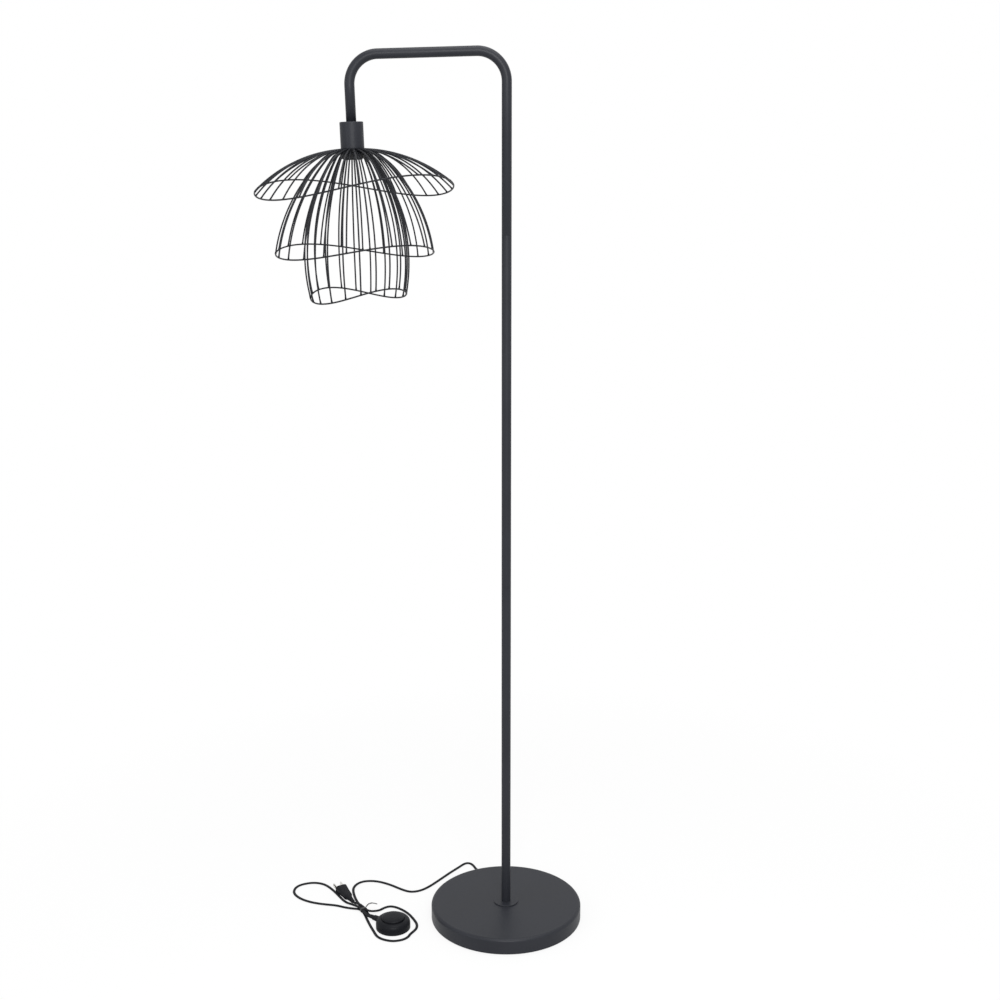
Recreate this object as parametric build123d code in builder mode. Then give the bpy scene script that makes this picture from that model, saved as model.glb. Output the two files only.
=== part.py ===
from build123d import *
from dataclasses import dataclass
from math import cos, sin, pi, radians, sqrt, tan
import os

# Dome shade floor lamp: a round weighted base, a pole of three tubes that ends in a bent arm,
# and a lampholder under a small cup that carries three nested wire tiers.
# A foot switch and a plug sit on the flat flex. Millimetres.
# The origin is the middle of the base's underside, on the floor. +Z is up and the arm points to -X.

# Base
base_d = 250.0
base_height = 26.5
base_edge_r = 5.0
shell_wall = 1.5
shell_floor_gap = 1.0
pad_thickness = 2.0
pad_inset = 0.5
weight_thickness = 13.0
weight_side_gap = 1.5
weight_boss_d = 60.0
nut_pocket_d = 34.0
nut_pocket_roof = 16.5
cable_groove_width = 9.0
cable_groove_height = 9.0
cable_azimuth = 108.0
cable_exit_z = 7.0
weight_chamfer = 2.0
bush_flange = 2.0
bush_flange_d = 11.5
bush_d = 8.0
bush_inner_length = 5.0

# Pole and arm
overall_height = 1400.0
pole_d = 15.0
pole_wall = 1.2
collar_d = 41.0
collar_height = 1.5
lower_joint_z = 575.0
upper_joint_z = 1125.0
joint_ring_height = 5.0
spigot_length = 16.0
spigot_bore_d = 8.0
arm_reach = 231.0
arm_bend_r = 43.0
arm_droop = 1.6
stub_length = 52.0

# Hollow M10 fixings
thread_d = 10.0
thread_bore_d = 8.0
nut_flats = 14.0
nut_height = 5.0
washer_d = 30.0
washer_height = 1.5
insert_length = 16.0
thread_engagement = 13.0

# Lampholder, candelabra size, and its cup
cup_d = 35.0
cup_height = 38.0
cup_wall = 1.5
cup_edge = 1.0
holder_d = 28.0
holder_wall = 2.0
holder_cap_height = 17.0
holder_cap_roof = 7.0
holder_cap_inset = 5.0
holder_cap_slope = 4.0
holder_lip = 1.5
core_height = 25.0
socket_bore_d = 11.9
socket_wall = 0.4
socket_length = 18.0
contact_d = 5.0
contact_height = 1.2
contact_well = 1.5
contact_tab_length = 4.0
contact_tab_width = 2.5
ring_nut_d = 34.0
ring_nut_height = 7.0
ring_nut_notches = 12
notch_d = 3.0

# Wire tiers of the shade
wire_d = 2.0
hub_thickness = 2.8
rib_foot = 1.0
rim_knots = 16
guide_share = 0.9


@dataclass
class Tier:
    """One wire tier: its rim, the wave and lean of that rim, its ribs and the bend at the ribs' roots."""

    name: str
    layer: int
    rim_r: float
    rim_drop: float
    wave: float
    lean: float
    lean_azimuth: float
    rib_count: int
    rib_azimuth: float
    root_bend: float
    root_r: float


top_tier = Tier("top", 0, 148.0, 57.0, 14.8, 2.8, -95.0, 31, 0.0, 4.0, 40.0)
middle_tier = Tier("middle", 1, 120.0, 151.0, 10.0, 5.4, -121.0, 22, 6.0, 43.0, 40.0)
inner_tier = Tier("inner", 2, 71.0, 215.5, 9.4, 2.4, -80.0, 20, 6.5, 55.0, 15.0)
tiers = [top_tier, middle_tier, inner_tier]

# Flex, and what is on it
cord_d = 4.6
cord_floor_gap = 0.05
cord_sides = 8
inner_cable_d = 4.6
cable_turn_r = 5.0
cable_sag_r = 60.0
cable_straight = 12.0
tie_x = -240.7
tie_y = 9.7
tie_heading = -58.0
tie_length = 5.0
tie_strip = 1.0
tie_tail_width = 2.4
strand_pitch = 5.2
sample_step = 2.0
near_samples = 8

# Foot switch
switch_x = -187.0
switch_y = -40.0
switch_d = 57.0
switch_height = 21.5
switch_wall = 2.0
switch_split_z = 8.0
switch_side_z = 12.0
switch_shoulder_z = 17.0
bevel_top_z = 15.4
shoulder_bevel = 2.2
switch_inlet_azimuth = 145.0
button_d = 38.0
button_travel = 3.5
button_crown = 3.0
button_flange = 1.5
crown_bevel = 2.4
stem_d = 6.0
relief_length = 13.0
relief_width = 12.0
relief_height = 8.0
relief_floor_gap = 1.0
relief_bite = 2.0
relief_taper = 1.5
relief_corner_r = 1.5
tray_chamfer = 0.6
switch_screw_d = 2.6
switch_screw_head_d = 4.6
switch_screw_head_height = 1.6
screw_post_d = 6.2
post_bite = 1.0
contact_strip = 1.0
contact_width = 5.0
contact_spread = 16.0
contact_post = 2.0
contact_play = 0.1
spring_wire = 0.9
spring_turns = 5
spring_boss_h = 1.2

# Plug, two flat blades
plug_x = -261.0
plug_y = 36.0
plug_azimuth = 120.0
plug_face_width = 21.0
plug_tail_width = 14.0
plug_thickness = 13.0
plug_tail_thickness = 10.0
plug_body_length = 33.0
plug_relief_length = 18.0
plug_relief_end_d = 6.4
blade_width = 6.4
blade_thickness = 1.5
blade_length = 16.5
blade_spacing = 12.7
blade_root = 8.0
blade_hole_d = 3.2
blade_hole_share = 0.7
blade_chamfer = 1.2
plug_corner_r = 3.0

# Clearances
seat_gap = 0.05
slide_gap = 0.4
cable_gap = 0.3

# Derived places
pad_top = pad_thickness
shell_top = base_height
collar_top = shell_top + collar_height
nut_top = nut_pocket_roof - washer_height
pole_r = pole_d / 2
half_ring = joint_ring_height / 2
tube_bore_r = pole_r - pole_wall
insert_r = tube_bore_r - seat_gap
thread_r = thread_d / 2
thread_hole_r = thread_r + seat_gap
nipple_bottom = nut_top - nut_height
nipple_top = collar_top + thread_engagement
arm_level = overall_height - pole_r - arm_bend_r
arm_straight = (arm_reach - arm_bend_r * (1 + cos(radians(arm_droop)))) / cos(radians(arm_droop))
cord_z = cord_d / 2 + cord_floor_gap

os.makedirs("parts", exist_ok=True)


def save(block, name):
    """Label a finished piece and write its file."""
    block.part.label = name
    export_step(block.part, f"parts/{name}.step")


def tube_path(points, radii):
    """A cord's path: straight runs joined by tangent arcs, one radius for each corner."""
    with BuildLine() as path:
        FilletPolyline(*points, radius=radii)
    return path


def corner_radii(points):
    """The arc at each corner: 0.45 of its shorter run, divided by the tangent of half the turn."""
    radii = []
    for before, corner, after in zip(points, points[1:], points[2:]):
        run_in = Vector(*corner) - Vector(*before)
        run_out = Vector(*after) - Vector(*corner)
        half_turn = radians(run_in.get_angle(run_out)) / 2
        radii.append(0.45 * min(run_in.length, run_out.length) / tan(half_turn))
    return radii


# Base pad: soft foam disc that the lamp stands on
pad_r = base_d / 2 - shell_wall - pad_inset
with BuildPart() as base_pad:
    with BuildSketch():
        Circle(pad_r)
    extrude(amount=pad_thickness)
save(base_pad, "base_pad")

# Base weight: iron disc with a boss under the shell, a pocket for the nut and a groove for the cable
weight_r = base_d / 2 - shell_wall - weight_side_gap
shell_under = shell_top - shell_wall
with BuildPart() as base_weight:
    with BuildSketch(Plane.XY.offset(pad_top)):
        Circle(weight_r)
    extrude(amount=weight_thickness)
    chamfer(base_weight.faces().sort_by(Axis.Z)[-1].edges(), length=weight_chamfer)
    with BuildSketch(Plane.XY.offset(pad_top)):
        Circle(weight_boss_d / 2)
    extrude(amount=shell_under - pad_top)
    with BuildSketch(Plane.XY.offset(pad_top)):
        Circle(nut_pocket_d / 2)
    extrude(amount=nut_pocket_roof - pad_top, mode=Mode.SUBTRACT)
    with BuildSketch(Plane.XY.offset(nut_pocket_roof)):
        Circle(thread_hole_r)
    extrude(amount=shell_under - nut_pocket_roof, mode=Mode.SUBTRACT)
    groove_plane = Plane.XY.offset(pad_top).rotated((0, 0, cable_azimuth))
    with BuildSketch(groove_plane):
        with Locations((weight_r / 2, 0)):
            Rectangle(weight_r, cable_groove_width)
    extrude(amount=cable_groove_height, mode=Mode.SUBTRACT)
save(base_weight, "base_weight")

# Cable outlet: a bush in the shell's wall at the back
outlet_dir = Vector(cos(radians(cable_azimuth)), sin(radians(cable_azimuth)), 0)
wall_outer = base_d / 2
bush_seat = outlet_dir * wall_outer + Vector(0, 0, cable_exit_z)
bush_plane = Plane(origin=bush_seat, x_dir=(0, 0, 1), z_dir=outlet_dir)

# Base shell: spun steel cover with a rounded edge, open below
with BuildPart() as base_shell:
    with BuildSketch(Plane.XZ):
        with BuildLine():
            wall_foot = Line((wall_outer - shell_wall, shell_floor_gap), (wall_outer, shell_floor_gap))
            outer_side = Line(wall_foot @ 1, (wall_outer, shell_top - base_edge_r))
            outer_edge = TangentArc(
                outer_side @ 1, (wall_outer - base_edge_r, shell_top), tangent=outer_side % 1
            )
            top = Line(outer_edge @ 1, (thread_hole_r, shell_top))
            hole = Line(top @ 1, (thread_hole_r, shell_under))
            under = Line(hole @ 1, (wall_outer - base_edge_r, shell_under))
            inner_edge = Line(under @ 1, (wall_outer - shell_wall, shell_top - base_edge_r))
            Line(inner_edge @ 1, wall_foot @ 0)
        make_face()
    revolve(axis=Axis.Z)
    with BuildSketch(bush_plane):
        Circle(bush_d / 2 + seat_gap)
    extrude(amount=-2 * shell_wall, mode=Mode.SUBTRACT)
save(base_shell, "base_shell")

with BuildPart() as cord_bush:
    with BuildSketch(bush_plane):
        Circle(bush_flange_d / 2)
    extrude(amount=bush_flange)
    with BuildSketch(bush_plane):
        Circle(bush_d / 2)
    extrude(amount=-bush_inner_length)
    with BuildSketch(bush_plane.offset(-bush_inner_length)):
        Circle(inner_cable_d / 2 + seat_gap)
    extrude(amount=bush_inner_length + bush_flange, mode=Mode.SUBTRACT)
save(cord_bush, "cord_bush")

# Foot collar: a thin stepped disc between the shell and the pole
with BuildPart() as foot_collar:
    with BuildSketch(Plane.XY.offset(shell_top)):
        Circle(collar_d / 2)
        Circle(thread_hole_r, mode=Mode.SUBTRACT)
    extrude(amount=collar_height)
    rim_edge = foot_collar.faces().sort_by(Axis.Z)[-1].outer_wire().edges()
    chamfer(rim_edge, length=collar_height / 2)
save(foot_collar, "foot_collar")

# Foot fixing: a hollow threaded nipple, its nut and a wide washer in the weight's pocket
with BuildPart() as foot_nipple:
    with BuildSketch(Plane.XY.offset(nipple_bottom)):
        Circle(thread_r)
        Circle(thread_bore_d / 2, mode=Mode.SUBTRACT)
    extrude(amount=nipple_top - nipple_bottom)
save(foot_nipple, "foot_nipple")

with BuildPart() as foot_nut:
    with BuildSketch(Plane.XY.offset(nut_top - nut_height)):
        RegularPolygon(nut_flats / 2, 6, major_radius=False)
        Circle(thread_hole_r, mode=Mode.SUBTRACT)
    extrude(amount=nut_height)
save(foot_nut, "foot_nut")

with BuildPart() as foot_washer:
    with BuildSketch(Plane.XY.offset(nut_top)):
        Circle(washer_d / 2)
        Circle(thread_hole_r, mode=Mode.SUBTRACT)
    extrude(amount=washer_height)
save(foot_washer, "foot_washer")


def threaded_insert(plane, name):
    """The bush pressed into a tube's end for the hollow nipple. plane faces into the tube."""
    with BuildPart() as insert:
        with BuildSketch(plane):
            Circle(insert_r)
            Circle(thread_hole_r, mode=Mode.SUBTRACT)
        extrude(amount=insert_length)
    save(insert, name)


def straight_tube(low, high, name):
    """One straight length of the pole."""
    with BuildPart() as tube:
        with BuildSketch(Plane.XY.offset(low)):
            Circle(pole_r)
            Circle(tube_bore_r, mode=Mode.SUBTRACT)
        extrude(amount=high - low)
    save(tube, name)


def tube_coupler(middle_z, name):
    """The joint of two tubes: a flush ring with a bored spigot up and down."""
    with BuildPart() as coupler:
        with BuildSketch(Plane.XY.offset(middle_z - half_ring)):
            Circle(pole_r)
        extrude(amount=joint_ring_height)
        with BuildSketch(Plane.XY.offset(middle_z - half_ring - spigot_length)):
            Circle(insert_r)
        extrude(amount=joint_ring_height + 2 * spigot_length)
        with BuildSketch(Plane.XY.offset(middle_z - half_ring - spigot_length)):
            Circle(spigot_bore_d / 2)
        extrude(amount=joint_ring_height + 2 * spigot_length, mode=Mode.SUBTRACT)
    save(coupler, name)


threaded_insert(Plane.XY.offset(collar_top), "pole_insert")
straight_tube(collar_top, lower_joint_z - half_ring, "lower_tube")
tube_coupler(lower_joint_z, "lower_coupler")
straight_tube(lower_joint_z + half_ring, upper_joint_z - half_ring, "middle_tube")
tube_coupler(upper_joint_z, "upper_coupler")

# Arm tube: up, over in a bend, along the arm, and down in a second bend to the cup
arm_foot_z = upper_joint_z + half_ring
with BuildLine(Plane.XZ) as arm_line:
    rise = Line((0, arm_foot_z), (0, arm_level))
    first_bend = JernArc(rise @ 1, rise % 1, arm_bend_r, 90 + arm_droop)
    span = PolarLine(first_bend @ 1, arm_straight, direction=first_bend % 1)
    second_bend = JernArc(span @ 1, span % 1, arm_bend_r, 90)
    stub = PolarLine(second_bend @ 1, stub_length, direction=second_bend % 1)

arm_wire = arm_line.wire()
with BuildPart() as arm_tube:
    with BuildSketch(Plane.XY.offset(arm_foot_z)):
        Circle(pole_r)
        Circle(tube_bore_r, mode=Mode.SUBTRACT)
    sweep(path=arm_wire)
save(arm_tube, "arm_tube")

# Everything below the arm's end shares this plane: it faces back up the stub, at the top of the cup
stub_end = arm_wire @ 1
head_x = (cos(radians(arm_droop)), 0, sin(radians(arm_droop)))
head_plane = Plane(origin=stub_end, x_dir=head_x, z_dir=-(arm_wire % 1))
threaded_insert(head_plane, "arm_insert")

head_nipple_low = cup_wall + holder_cap_roof
with BuildPart() as head_nipple:
    with BuildSketch(head_plane.offset(-head_nipple_low)):
        Circle(thread_r)
        Circle(thread_bore_d / 2, mode=Mode.SUBTRACT)
    extrude(amount=head_nipple_low + thread_engagement)
save(head_nipple, "head_nipple")


def turned(plane, outline):
    """Turn a closed outline of (radius, height) points round the plane's own axis."""
    section = Plane(origin=plane.origin, x_dir=plane.x_dir, z_dir=plane.x_dir.cross(plane.z_dir))
    with BuildPart() as body:
        with BuildSketch(section):
            with BuildLine():
                Polyline(*outline, close=True)
            make_face()
        revolve(axis=Axis(plane.origin, plane.z_dir))
    return body


# Lamp cup: a deep drawn cap, open below, with a hole for the nipple
cup_r = cup_d / 2
with BuildPart() as lamp_cup:
    with BuildSketch(head_plane.offset(-cup_height)):
        Circle(cup_r)
    extrude(amount=cup_height)
    chamfer(lamp_cup.faces().sort_by(Axis.Z)[-1].edges(), length=cup_edge)
    with BuildSketch(head_plane.offset(-cup_height)):
        Circle(cup_r - cup_wall)
    extrude(amount=cup_height - cup_wall, mode=Mode.SUBTRACT)
    with BuildSketch(head_plane.offset(-cup_wall)):
        Circle(thread_hole_r)
    extrude(amount=cup_wall, mode=Mode.SUBTRACT)
save(lamp_cup, "lamp_cup")

# Lampholder: cap on the nipple, threaded sleeve, insulating core, brass screw shell and centre contact
holder_r = holder_d / 2
cap_low = cup_wall + holder_cap_height
hub_stack = len(tiers) * hub_thickness
holder_low = cup_height + hub_stack + ring_nut_height + holder_lip
holder_cap = turned(
    head_plane,
    [
        (thread_hole_r, -cup_wall),
        (holder_r - holder_cap_inset, -cup_wall),
        (holder_r, -cup_wall - holder_cap_slope),
        (holder_r, -cap_low),
        (holder_r - holder_wall, -cap_low),
        (holder_r - holder_wall, -cup_wall - holder_cap_roof),
        (thread_hole_r, -cup_wall - holder_cap_roof),
    ],
)
save(holder_cap, "holder_cap")

with BuildPart() as holder_sleeve:
    with BuildSketch(head_plane.offset(-holder_low)):
        Circle(holder_r)
        Circle(holder_r - holder_wall, mode=Mode.SUBTRACT)
    extrude(amount=holder_low - cap_low)
save(holder_sleeve, "holder_sleeve")

core_top = holder_low - core_height
socket_bore_r = socket_bore_d / 2
socket_r = socket_bore_r + socket_wall
socket_low = holder_low
socket_top = socket_low - socket_length
with BuildPart() as holder_core:
    with BuildSketch(head_plane.offset(-holder_low)):
        Circle(holder_r - holder_wall - seat_gap)
    extrude(amount=core_height)
    with BuildSketch(head_plane.offset(-socket_low)):
        Circle(socket_r + seat_gap)
    extrude(amount=socket_length, mode=Mode.SUBTRACT)
    with BuildSketch(head_plane.offset(-socket_top)):
        Circle(contact_d / 2 + seat_gap)
    extrude(amount=contact_well + contact_height, mode=Mode.SUBTRACT)
save(holder_core, "holder_core")

with BuildPart() as socket_shell:
    with BuildSketch(head_plane.offset(-socket_low)):
        Circle(socket_r)
        Circle(socket_bore_r, mode=Mode.SUBTRACT)
    extrude(amount=socket_length)
save(socket_shell, "socket_shell")

contact_seat = head_plane.offset(contact_well - socket_top)
with BuildPart() as centre_contact:
    with BuildSketch(contact_seat):
        Circle(contact_d / 2)
    extrude(amount=contact_height)
    with BuildSketch(contact_seat):
        Rectangle(contact_tab_length, contact_tab_width)
    extrude(amount=-contact_height)
save(centre_contact, "centre_contact")

# Ring nut: screws up the sleeve and clamps the three hubs against the cup
with BuildPart() as ring_nut:
    with BuildSketch(head_plane.offset(-cup_height - hub_stack - ring_nut_height)):
        Circle(ring_nut_d / 2)
        Circle(holder_r + seat_gap, mode=Mode.SUBTRACT)
        with PolarLocations(ring_nut_d / 2, ring_nut_notches):
            Circle(notch_d / 2, mode=Mode.SUBTRACT)
    extrude(amount=ring_nut_height)
save(ring_nut, "ring_nut")

# Wire tiers: a hub ring, ribs that spring from it, and a waved rim that the ribs end on
wire_r = wire_d / 2
hub_r = cup_d / 2
hub_bore_r = holder_r + cable_gap
hex_r = wire_r * sqrt(2 * pi / (3 * sqrt(3)))


def rim_drop(tier, azimuth):
    """How far a rim lies below the cup: its mean, a wave of two crests, and a lean to one side."""
    turn = radians(azimuth)
    lean = tier.lean * cos(turn - radians(tier.lean_azimuth))
    return tier.rim_drop + tier.wave * sin(2 * turn) - lean


def rim_curve(tier, radius):
    """A closed curve at one radius round the head's axis, at the rim's own heights."""
    azimuths = [i * 360 / rim_knots for i in range(rim_knots)]
    points = [
        (radius * cos(radians(a)), radius * sin(radians(a)), -cup_height - rim_drop(tier, a))
        for a in azimuths
    ]
    with BuildLine(head_plane) as curve:
        Spline(*points, periodic=True)
    return curve.edge()


def hex_wire(plane):
    """The wire's section: a hexagon of the round wire's own area."""
    with BuildSketch(plane) as section:
        RegularPolygon(hex_r, 6)
    return section.sketch


def tier_hub(tier):
    """A flat ring on the lampholder's sleeve, one layer of the stack under the cup."""
    with BuildPart() as hub:
        with BuildSketch(head_plane.offset(-cup_height - (tier.layer + 1) * hub_thickness)):
            Circle(hub_r)
            Circle(hub_bore_r, mode=Mode.SUBTRACT)
        extrude(amount=hub_thickness)
    save(hub, f"{tier.name}_hub")


def tier_rim(tier):
    """The closed rim wire. A guide curve nearer the axis keeps its section from twisting."""
    ring = rim_curve(tier, tier.rim_r)
    guide = rim_curve(tier, tier.rim_r * guide_share)
    start = Plane(origin=ring @ 0, x_dir=head_plane.z_dir, z_dir=ring % 0)
    with BuildPart() as rim:
        sweep(hex_wire(start), path=ring, binormal=guide)
    save(rim, f"{tier.name}_rim")


def rib(tier, azimuth):
    """One rib: a short foot on the hub, a bend downwards, and one arc to the rim wire's near side."""
    height = -cup_height - (tier.layer + 0.5) * hub_thickness
    turn = radians(azimuth)
    outward = head_plane.x_dir * cos(turn) + head_plane.y_dir * sin(turn)
    rib_plane = Plane(origin=head_plane.origin, x_dir=outward, z_dir=outward.cross(head_plane.z_dir))
    rim_point = (tier.rim_r, -cup_height - rim_drop(tier, azimuth))
    with BuildLine(rib_plane) as path:
        foot = Line((hub_r, height), (hub_r + rib_foot, height))
        root = JernArc(foot @ 1, foot % 1, tier.root_r, -tier.root_bend)
        side = TangentArc(root @ 1, rim_point, tangent=root % 1, mode=Mode.PRIVATE)
        add(side.trim(0.0, 1.0 - (hex_r + seat_gap) / side.length))
    start = Plane(origin=path.wire() @ 0, x_dir=head_plane.z_dir, z_dir=outward)
    return sweep(hex_wire(start), path=path.wire(), mode=Mode.PRIVATE)


def tier_ribs(tier):
    """All the ribs of a tier, evenly spaced, each a solid of its own."""
    step = 360 / tier.rib_count
    wires = [rib(tier, tier.rib_azimuth + i * step) for i in range(tier.rib_count)]
    with BuildPart() as ribs:
        add(wires)
    save(ribs, f"{tier.name}_ribs")


for tier in tiers:
    tier_hub(tier)
    tier_rim(tier)
    tier_ribs(tier)


# Inner cable: through the bush and the groove, up the nipple and the pole, round the arm to the lampholder
bush_face_r = wall_outer + bush_flange
cable_low_z = pad_top + inner_cable_d / 2 + cable_gap


def outlet_point(radius, height):
    """A point in the vertical plane of the cable outlet."""
    return outlet_dir * radius + Vector(0, 0, height)


with BuildLine() as base_run:
    FilletPolyline(
        outlet_point(bush_face_r, cable_exit_z),
        outlet_point(wall_outer - cable_straight, cable_exit_z),
        outlet_point(0, cable_low_z),
        (0, 0, arm_level),
        radius=[cable_sag_r, cable_turn_r],
    )
with BuildLine(Plane.XZ) as arm_run:
    add(first_bend)
    add(span)
    add(second_bend)
    PolarLine(second_bend @ 1, stub_length + core_top, direction=second_bend % 1)
cable_wire = Wire(base_run.edges() + arm_run.edges())
with BuildPart() as inner_cable:
    with BuildSketch(Plane(origin=cable_wire @ 0, z_dir=cable_wire % 0)):
        RegularPolygon(inner_cable_d / 2, cord_sides)
    sweep(path=cable_wire)
save(inner_cable, "inner_cable")

# Foot switch: a round tray and cover, a crowned push button on a spring, contacts, screws and a cord relief
inlet_dir = Vector(cos(radians(switch_inlet_azimuth)), sin(radians(switch_inlet_azimuth)), 0)
inlet_side = Vector(0, 0, 1).cross(inlet_dir)
switch_plane = Plane(origin=(switch_x, switch_y, 0), x_dir=inlet_dir, z_dir=(0, 0, 1))
switch_r = switch_d / 2
switch_bore_r = switch_r - switch_wall
button_r = button_d / 2
cover_hole_r = button_r + slide_gap
flange_r = cover_hole_r + button_flange
lip_under = switch_shoulder_z - switch_wall
flange_top = lip_under - cable_gap
post_r = screw_post_d / 2
post_middle_r = switch_bore_r - post_r + post_bite
relief_end_r = switch_r + relief_length
relief_inner_r = switch_bore_r - relief_bite
relief_top = relief_floor_gap + relief_height
contact_top = switch_wall + contact_strip + contact_post
bridge_rest_z = contact_top + button_travel + contact_play
spring_low = switch_wall
spring_r = stem_d / 2 + spring_wire / 2 + slide_gap


def at_switch(height):
    """The switch's own plane, raised."""
    return switch_plane.offset(height)


def relief_window(low):
    """The outline of the window in the switch's wall that the cord relief fills."""
    middle_r = (relief_inner_r + relief_end_r) / 2
    with BuildSketch(at_switch(low)) as window:
        with Locations((middle_r, 0)):
            Rectangle(relief_end_r - relief_inner_r, relief_width + 2 * seat_gap)
    return window.sketch


with BuildPart() as switch_base:
    with BuildSketch(at_switch(0)):
        Circle(switch_r)
    extrude(amount=switch_split_z)
    chamfer(switch_base.faces().sort_by(Axis.Z)[0].edges(), length=tray_chamfer)
    with BuildSketch(at_switch(switch_wall)):
        Circle(switch_bore_r)
    extrude(amount=switch_split_z - switch_wall, mode=Mode.SUBTRACT)
    with BuildSketch(at_switch(switch_wall)):
        Circle(stem_d / 2)
    extrude(amount=spring_boss_h)
    with BuildSketch(at_switch(switch_wall)):
        with Locations((0, post_middle_r), (0, -post_middle_r)):
            Circle(post_r)
    extrude(amount=switch_split_z - switch_wall)
    with BuildSketch(at_switch(0)):
        with Locations((0, post_middle_r), (0, -post_middle_r)):
            Circle(switch_screw_d / 2 + seat_gap)
    extrude(amount=switch_split_z, mode=Mode.SUBTRACT)
    with BuildSketch(at_switch(0)):
        with Locations((0, post_middle_r), (0, -post_middle_r)):
            Circle(switch_screw_head_d / 2 + seat_gap)
    extrude(amount=switch_wall, mode=Mode.SUBTRACT)
    extrude(relief_window(relief_floor_gap), amount=switch_split_z, mode=Mode.SUBTRACT)
save(switch_base, "switch_base")

with BuildPart() as switch_cover:
    with BuildSketch(Plane(origin=switch_plane.origin, x_dir=inlet_dir, z_dir=-inlet_side)):
        with BuildLine():
            skirt = Line((switch_bore_r, switch_split_z), (switch_r, switch_split_z))
            side = Line(skirt @ 1, (switch_r, switch_side_z))
            bevel = Line(side @ 1, (switch_r - shoulder_bevel, bevel_top_z))
            shoulder = Line(bevel @ 1, (flange_r, switch_shoulder_z))
            lip = Line(shoulder @ 1, (cover_hole_r, switch_shoulder_z))
            hole_wall = Line(lip @ 1, (cover_hole_r, lip_under))
            lip_inside = Line(hole_wall @ 1, (flange_r + slide_gap, lip_under))
            inner_shoulder = Line(lip_inside @ 1, (switch_bore_r, switch_side_z))
            Line(inner_shoulder @ 1, skirt @ 0)
        make_face()
    revolve(axis=Axis(switch_plane.origin, (0, 0, 1)))
    with BuildSketch(at_switch(switch_split_z)):
        with Locations((0, post_middle_r), (0, -post_middle_r)):
            Circle(post_r)
    extrude(amount=switch_side_z - switch_split_z)
    with BuildSketch(at_switch(switch_split_z)):
        with Locations((0, post_middle_r), (0, -post_middle_r)):
            Circle(switch_screw_d / 2 + seat_gap)
    extrude(amount=switch_side_z - switch_split_z - contact_strip, mode=Mode.SUBTRACT)
    extrude(relief_window(switch_split_z), amount=relief_top - switch_split_z, mode=Mode.SUBTRACT)
save(switch_cover, "switch_cover")

screw_low = switch_wall - switch_screw_head_height
with BuildPart() as switch_screws:
    with BuildSketch(at_switch(screw_low)):
        with Locations((0, post_middle_r), (0, -post_middle_r)):
            Circle(switch_screw_head_d / 2)
    extrude(amount=switch_wall - screw_low)
    with BuildSketch(at_switch(switch_wall)):
        with Locations((0, post_middle_r), (0, -post_middle_r)):
            Circle(switch_screw_d / 2)
    extrude(amount=switch_side_z - switch_wall - 2 * contact_strip)
save(switch_screws, "switch_screws")

# Button: a crowned cap with a flange under the cover's lip and a stem to the moving contact
crown_edge_z = switch_height - button_crown
bridge_top = bridge_rest_z + contact_strip
button_roof = crown_edge_z - switch_wall
with BuildPart() as switch_button:
    with BuildSketch(Plane(origin=switch_plane.origin, x_dir=inlet_dir, z_dir=-inlet_side)):
        with BuildLine():
            crown = Line((0, switch_height), (button_r - 2 * crown_bevel, switch_height))
            crown_slope = Line(crown @ 1, (button_r - crown_bevel / 2, crown_edge_z + crown_bevel / 2))
            crown_edge = Line(crown_slope @ 1, (button_r, crown_edge_z))
            wall = Line(crown_edge @ 1, (button_r, flange_top))
            flange_upper = Line(wall @ 1, (flange_r, flange_top))
            flange_edge = Line(flange_upper @ 1, (flange_r, flange_top - button_flange))
            flange_lower = Line(flange_edge @ 1, (button_r - switch_wall, flange_top - button_flange))
            inside = Line(flange_lower @ 1, (button_r - switch_wall, button_roof))
            roof = Line(inside @ 1, (stem_d, button_roof))
            stem_side = Line(roof @ 1, (stem_d, bridge_top))
            stem_step = Line(stem_side @ 1, (stem_d / 2, bridge_top))
            spigot = Line(stem_step @ 1, (stem_d / 2, bridge_rest_z - contact_strip))
            spigot_end = Line(spigot @ 1, (0, bridge_rest_z - contact_strip))
            Line(spigot_end @ 1, crown @ 0)
        make_face()
    revolve(axis=Axis(switch_plane.origin, (0, 0, 1)))
save(switch_button, "switch_button")

bridge_length = contact_spread + contact_width
with BuildPart() as contact_bridge:
    with BuildSketch(at_switch(bridge_rest_z)):
        Rectangle(bridge_length, contact_width + stem_d / 2)
        Circle(stem_d / 2 + seat_gap, mode=Mode.SUBTRACT)
    extrude(amount=contact_strip)
save(contact_bridge, "contact_bridge")

with BuildPart() as switch_contacts:
    with BuildSketch(at_switch(switch_wall)):
        with GridLocations(contact_spread + contact_width, contact_width, 2, 1):
            Rectangle(2 * contact_width, contact_width)
    extrude(amount=contact_strip)
    with BuildSketch(at_switch(switch_wall + contact_strip)):
        with GridLocations(contact_spread, contact_width, 2, 1):
            Rectangle(2 * contact_strip, contact_width)
    extrude(amount=contact_top - switch_wall - contact_strip)
save(switch_contacts, "switch_contacts")

spring_high = bridge_rest_z - seat_gap
spring_pitch = (spring_high - spring_low - spring_wire - 2 * seat_gap) / spring_turns
with BuildPart() as switch_spring:
    with BuildLine(at_switch(spring_low + spring_wire / 2 + seat_gap)) as coil:
        Helix(spring_pitch, spring_pitch * spring_turns, spring_r + spring_wire / 2)
    with BuildSketch(Plane(origin=coil.edge() @ 0, x_dir=(0, 0, 1), z_dir=coil.edge() % 0)):
        Rectangle(spring_wire, spring_wire)
    sweep(path=coil.edge(), is_frenet=True)
save(switch_spring, "switch_spring")

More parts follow.
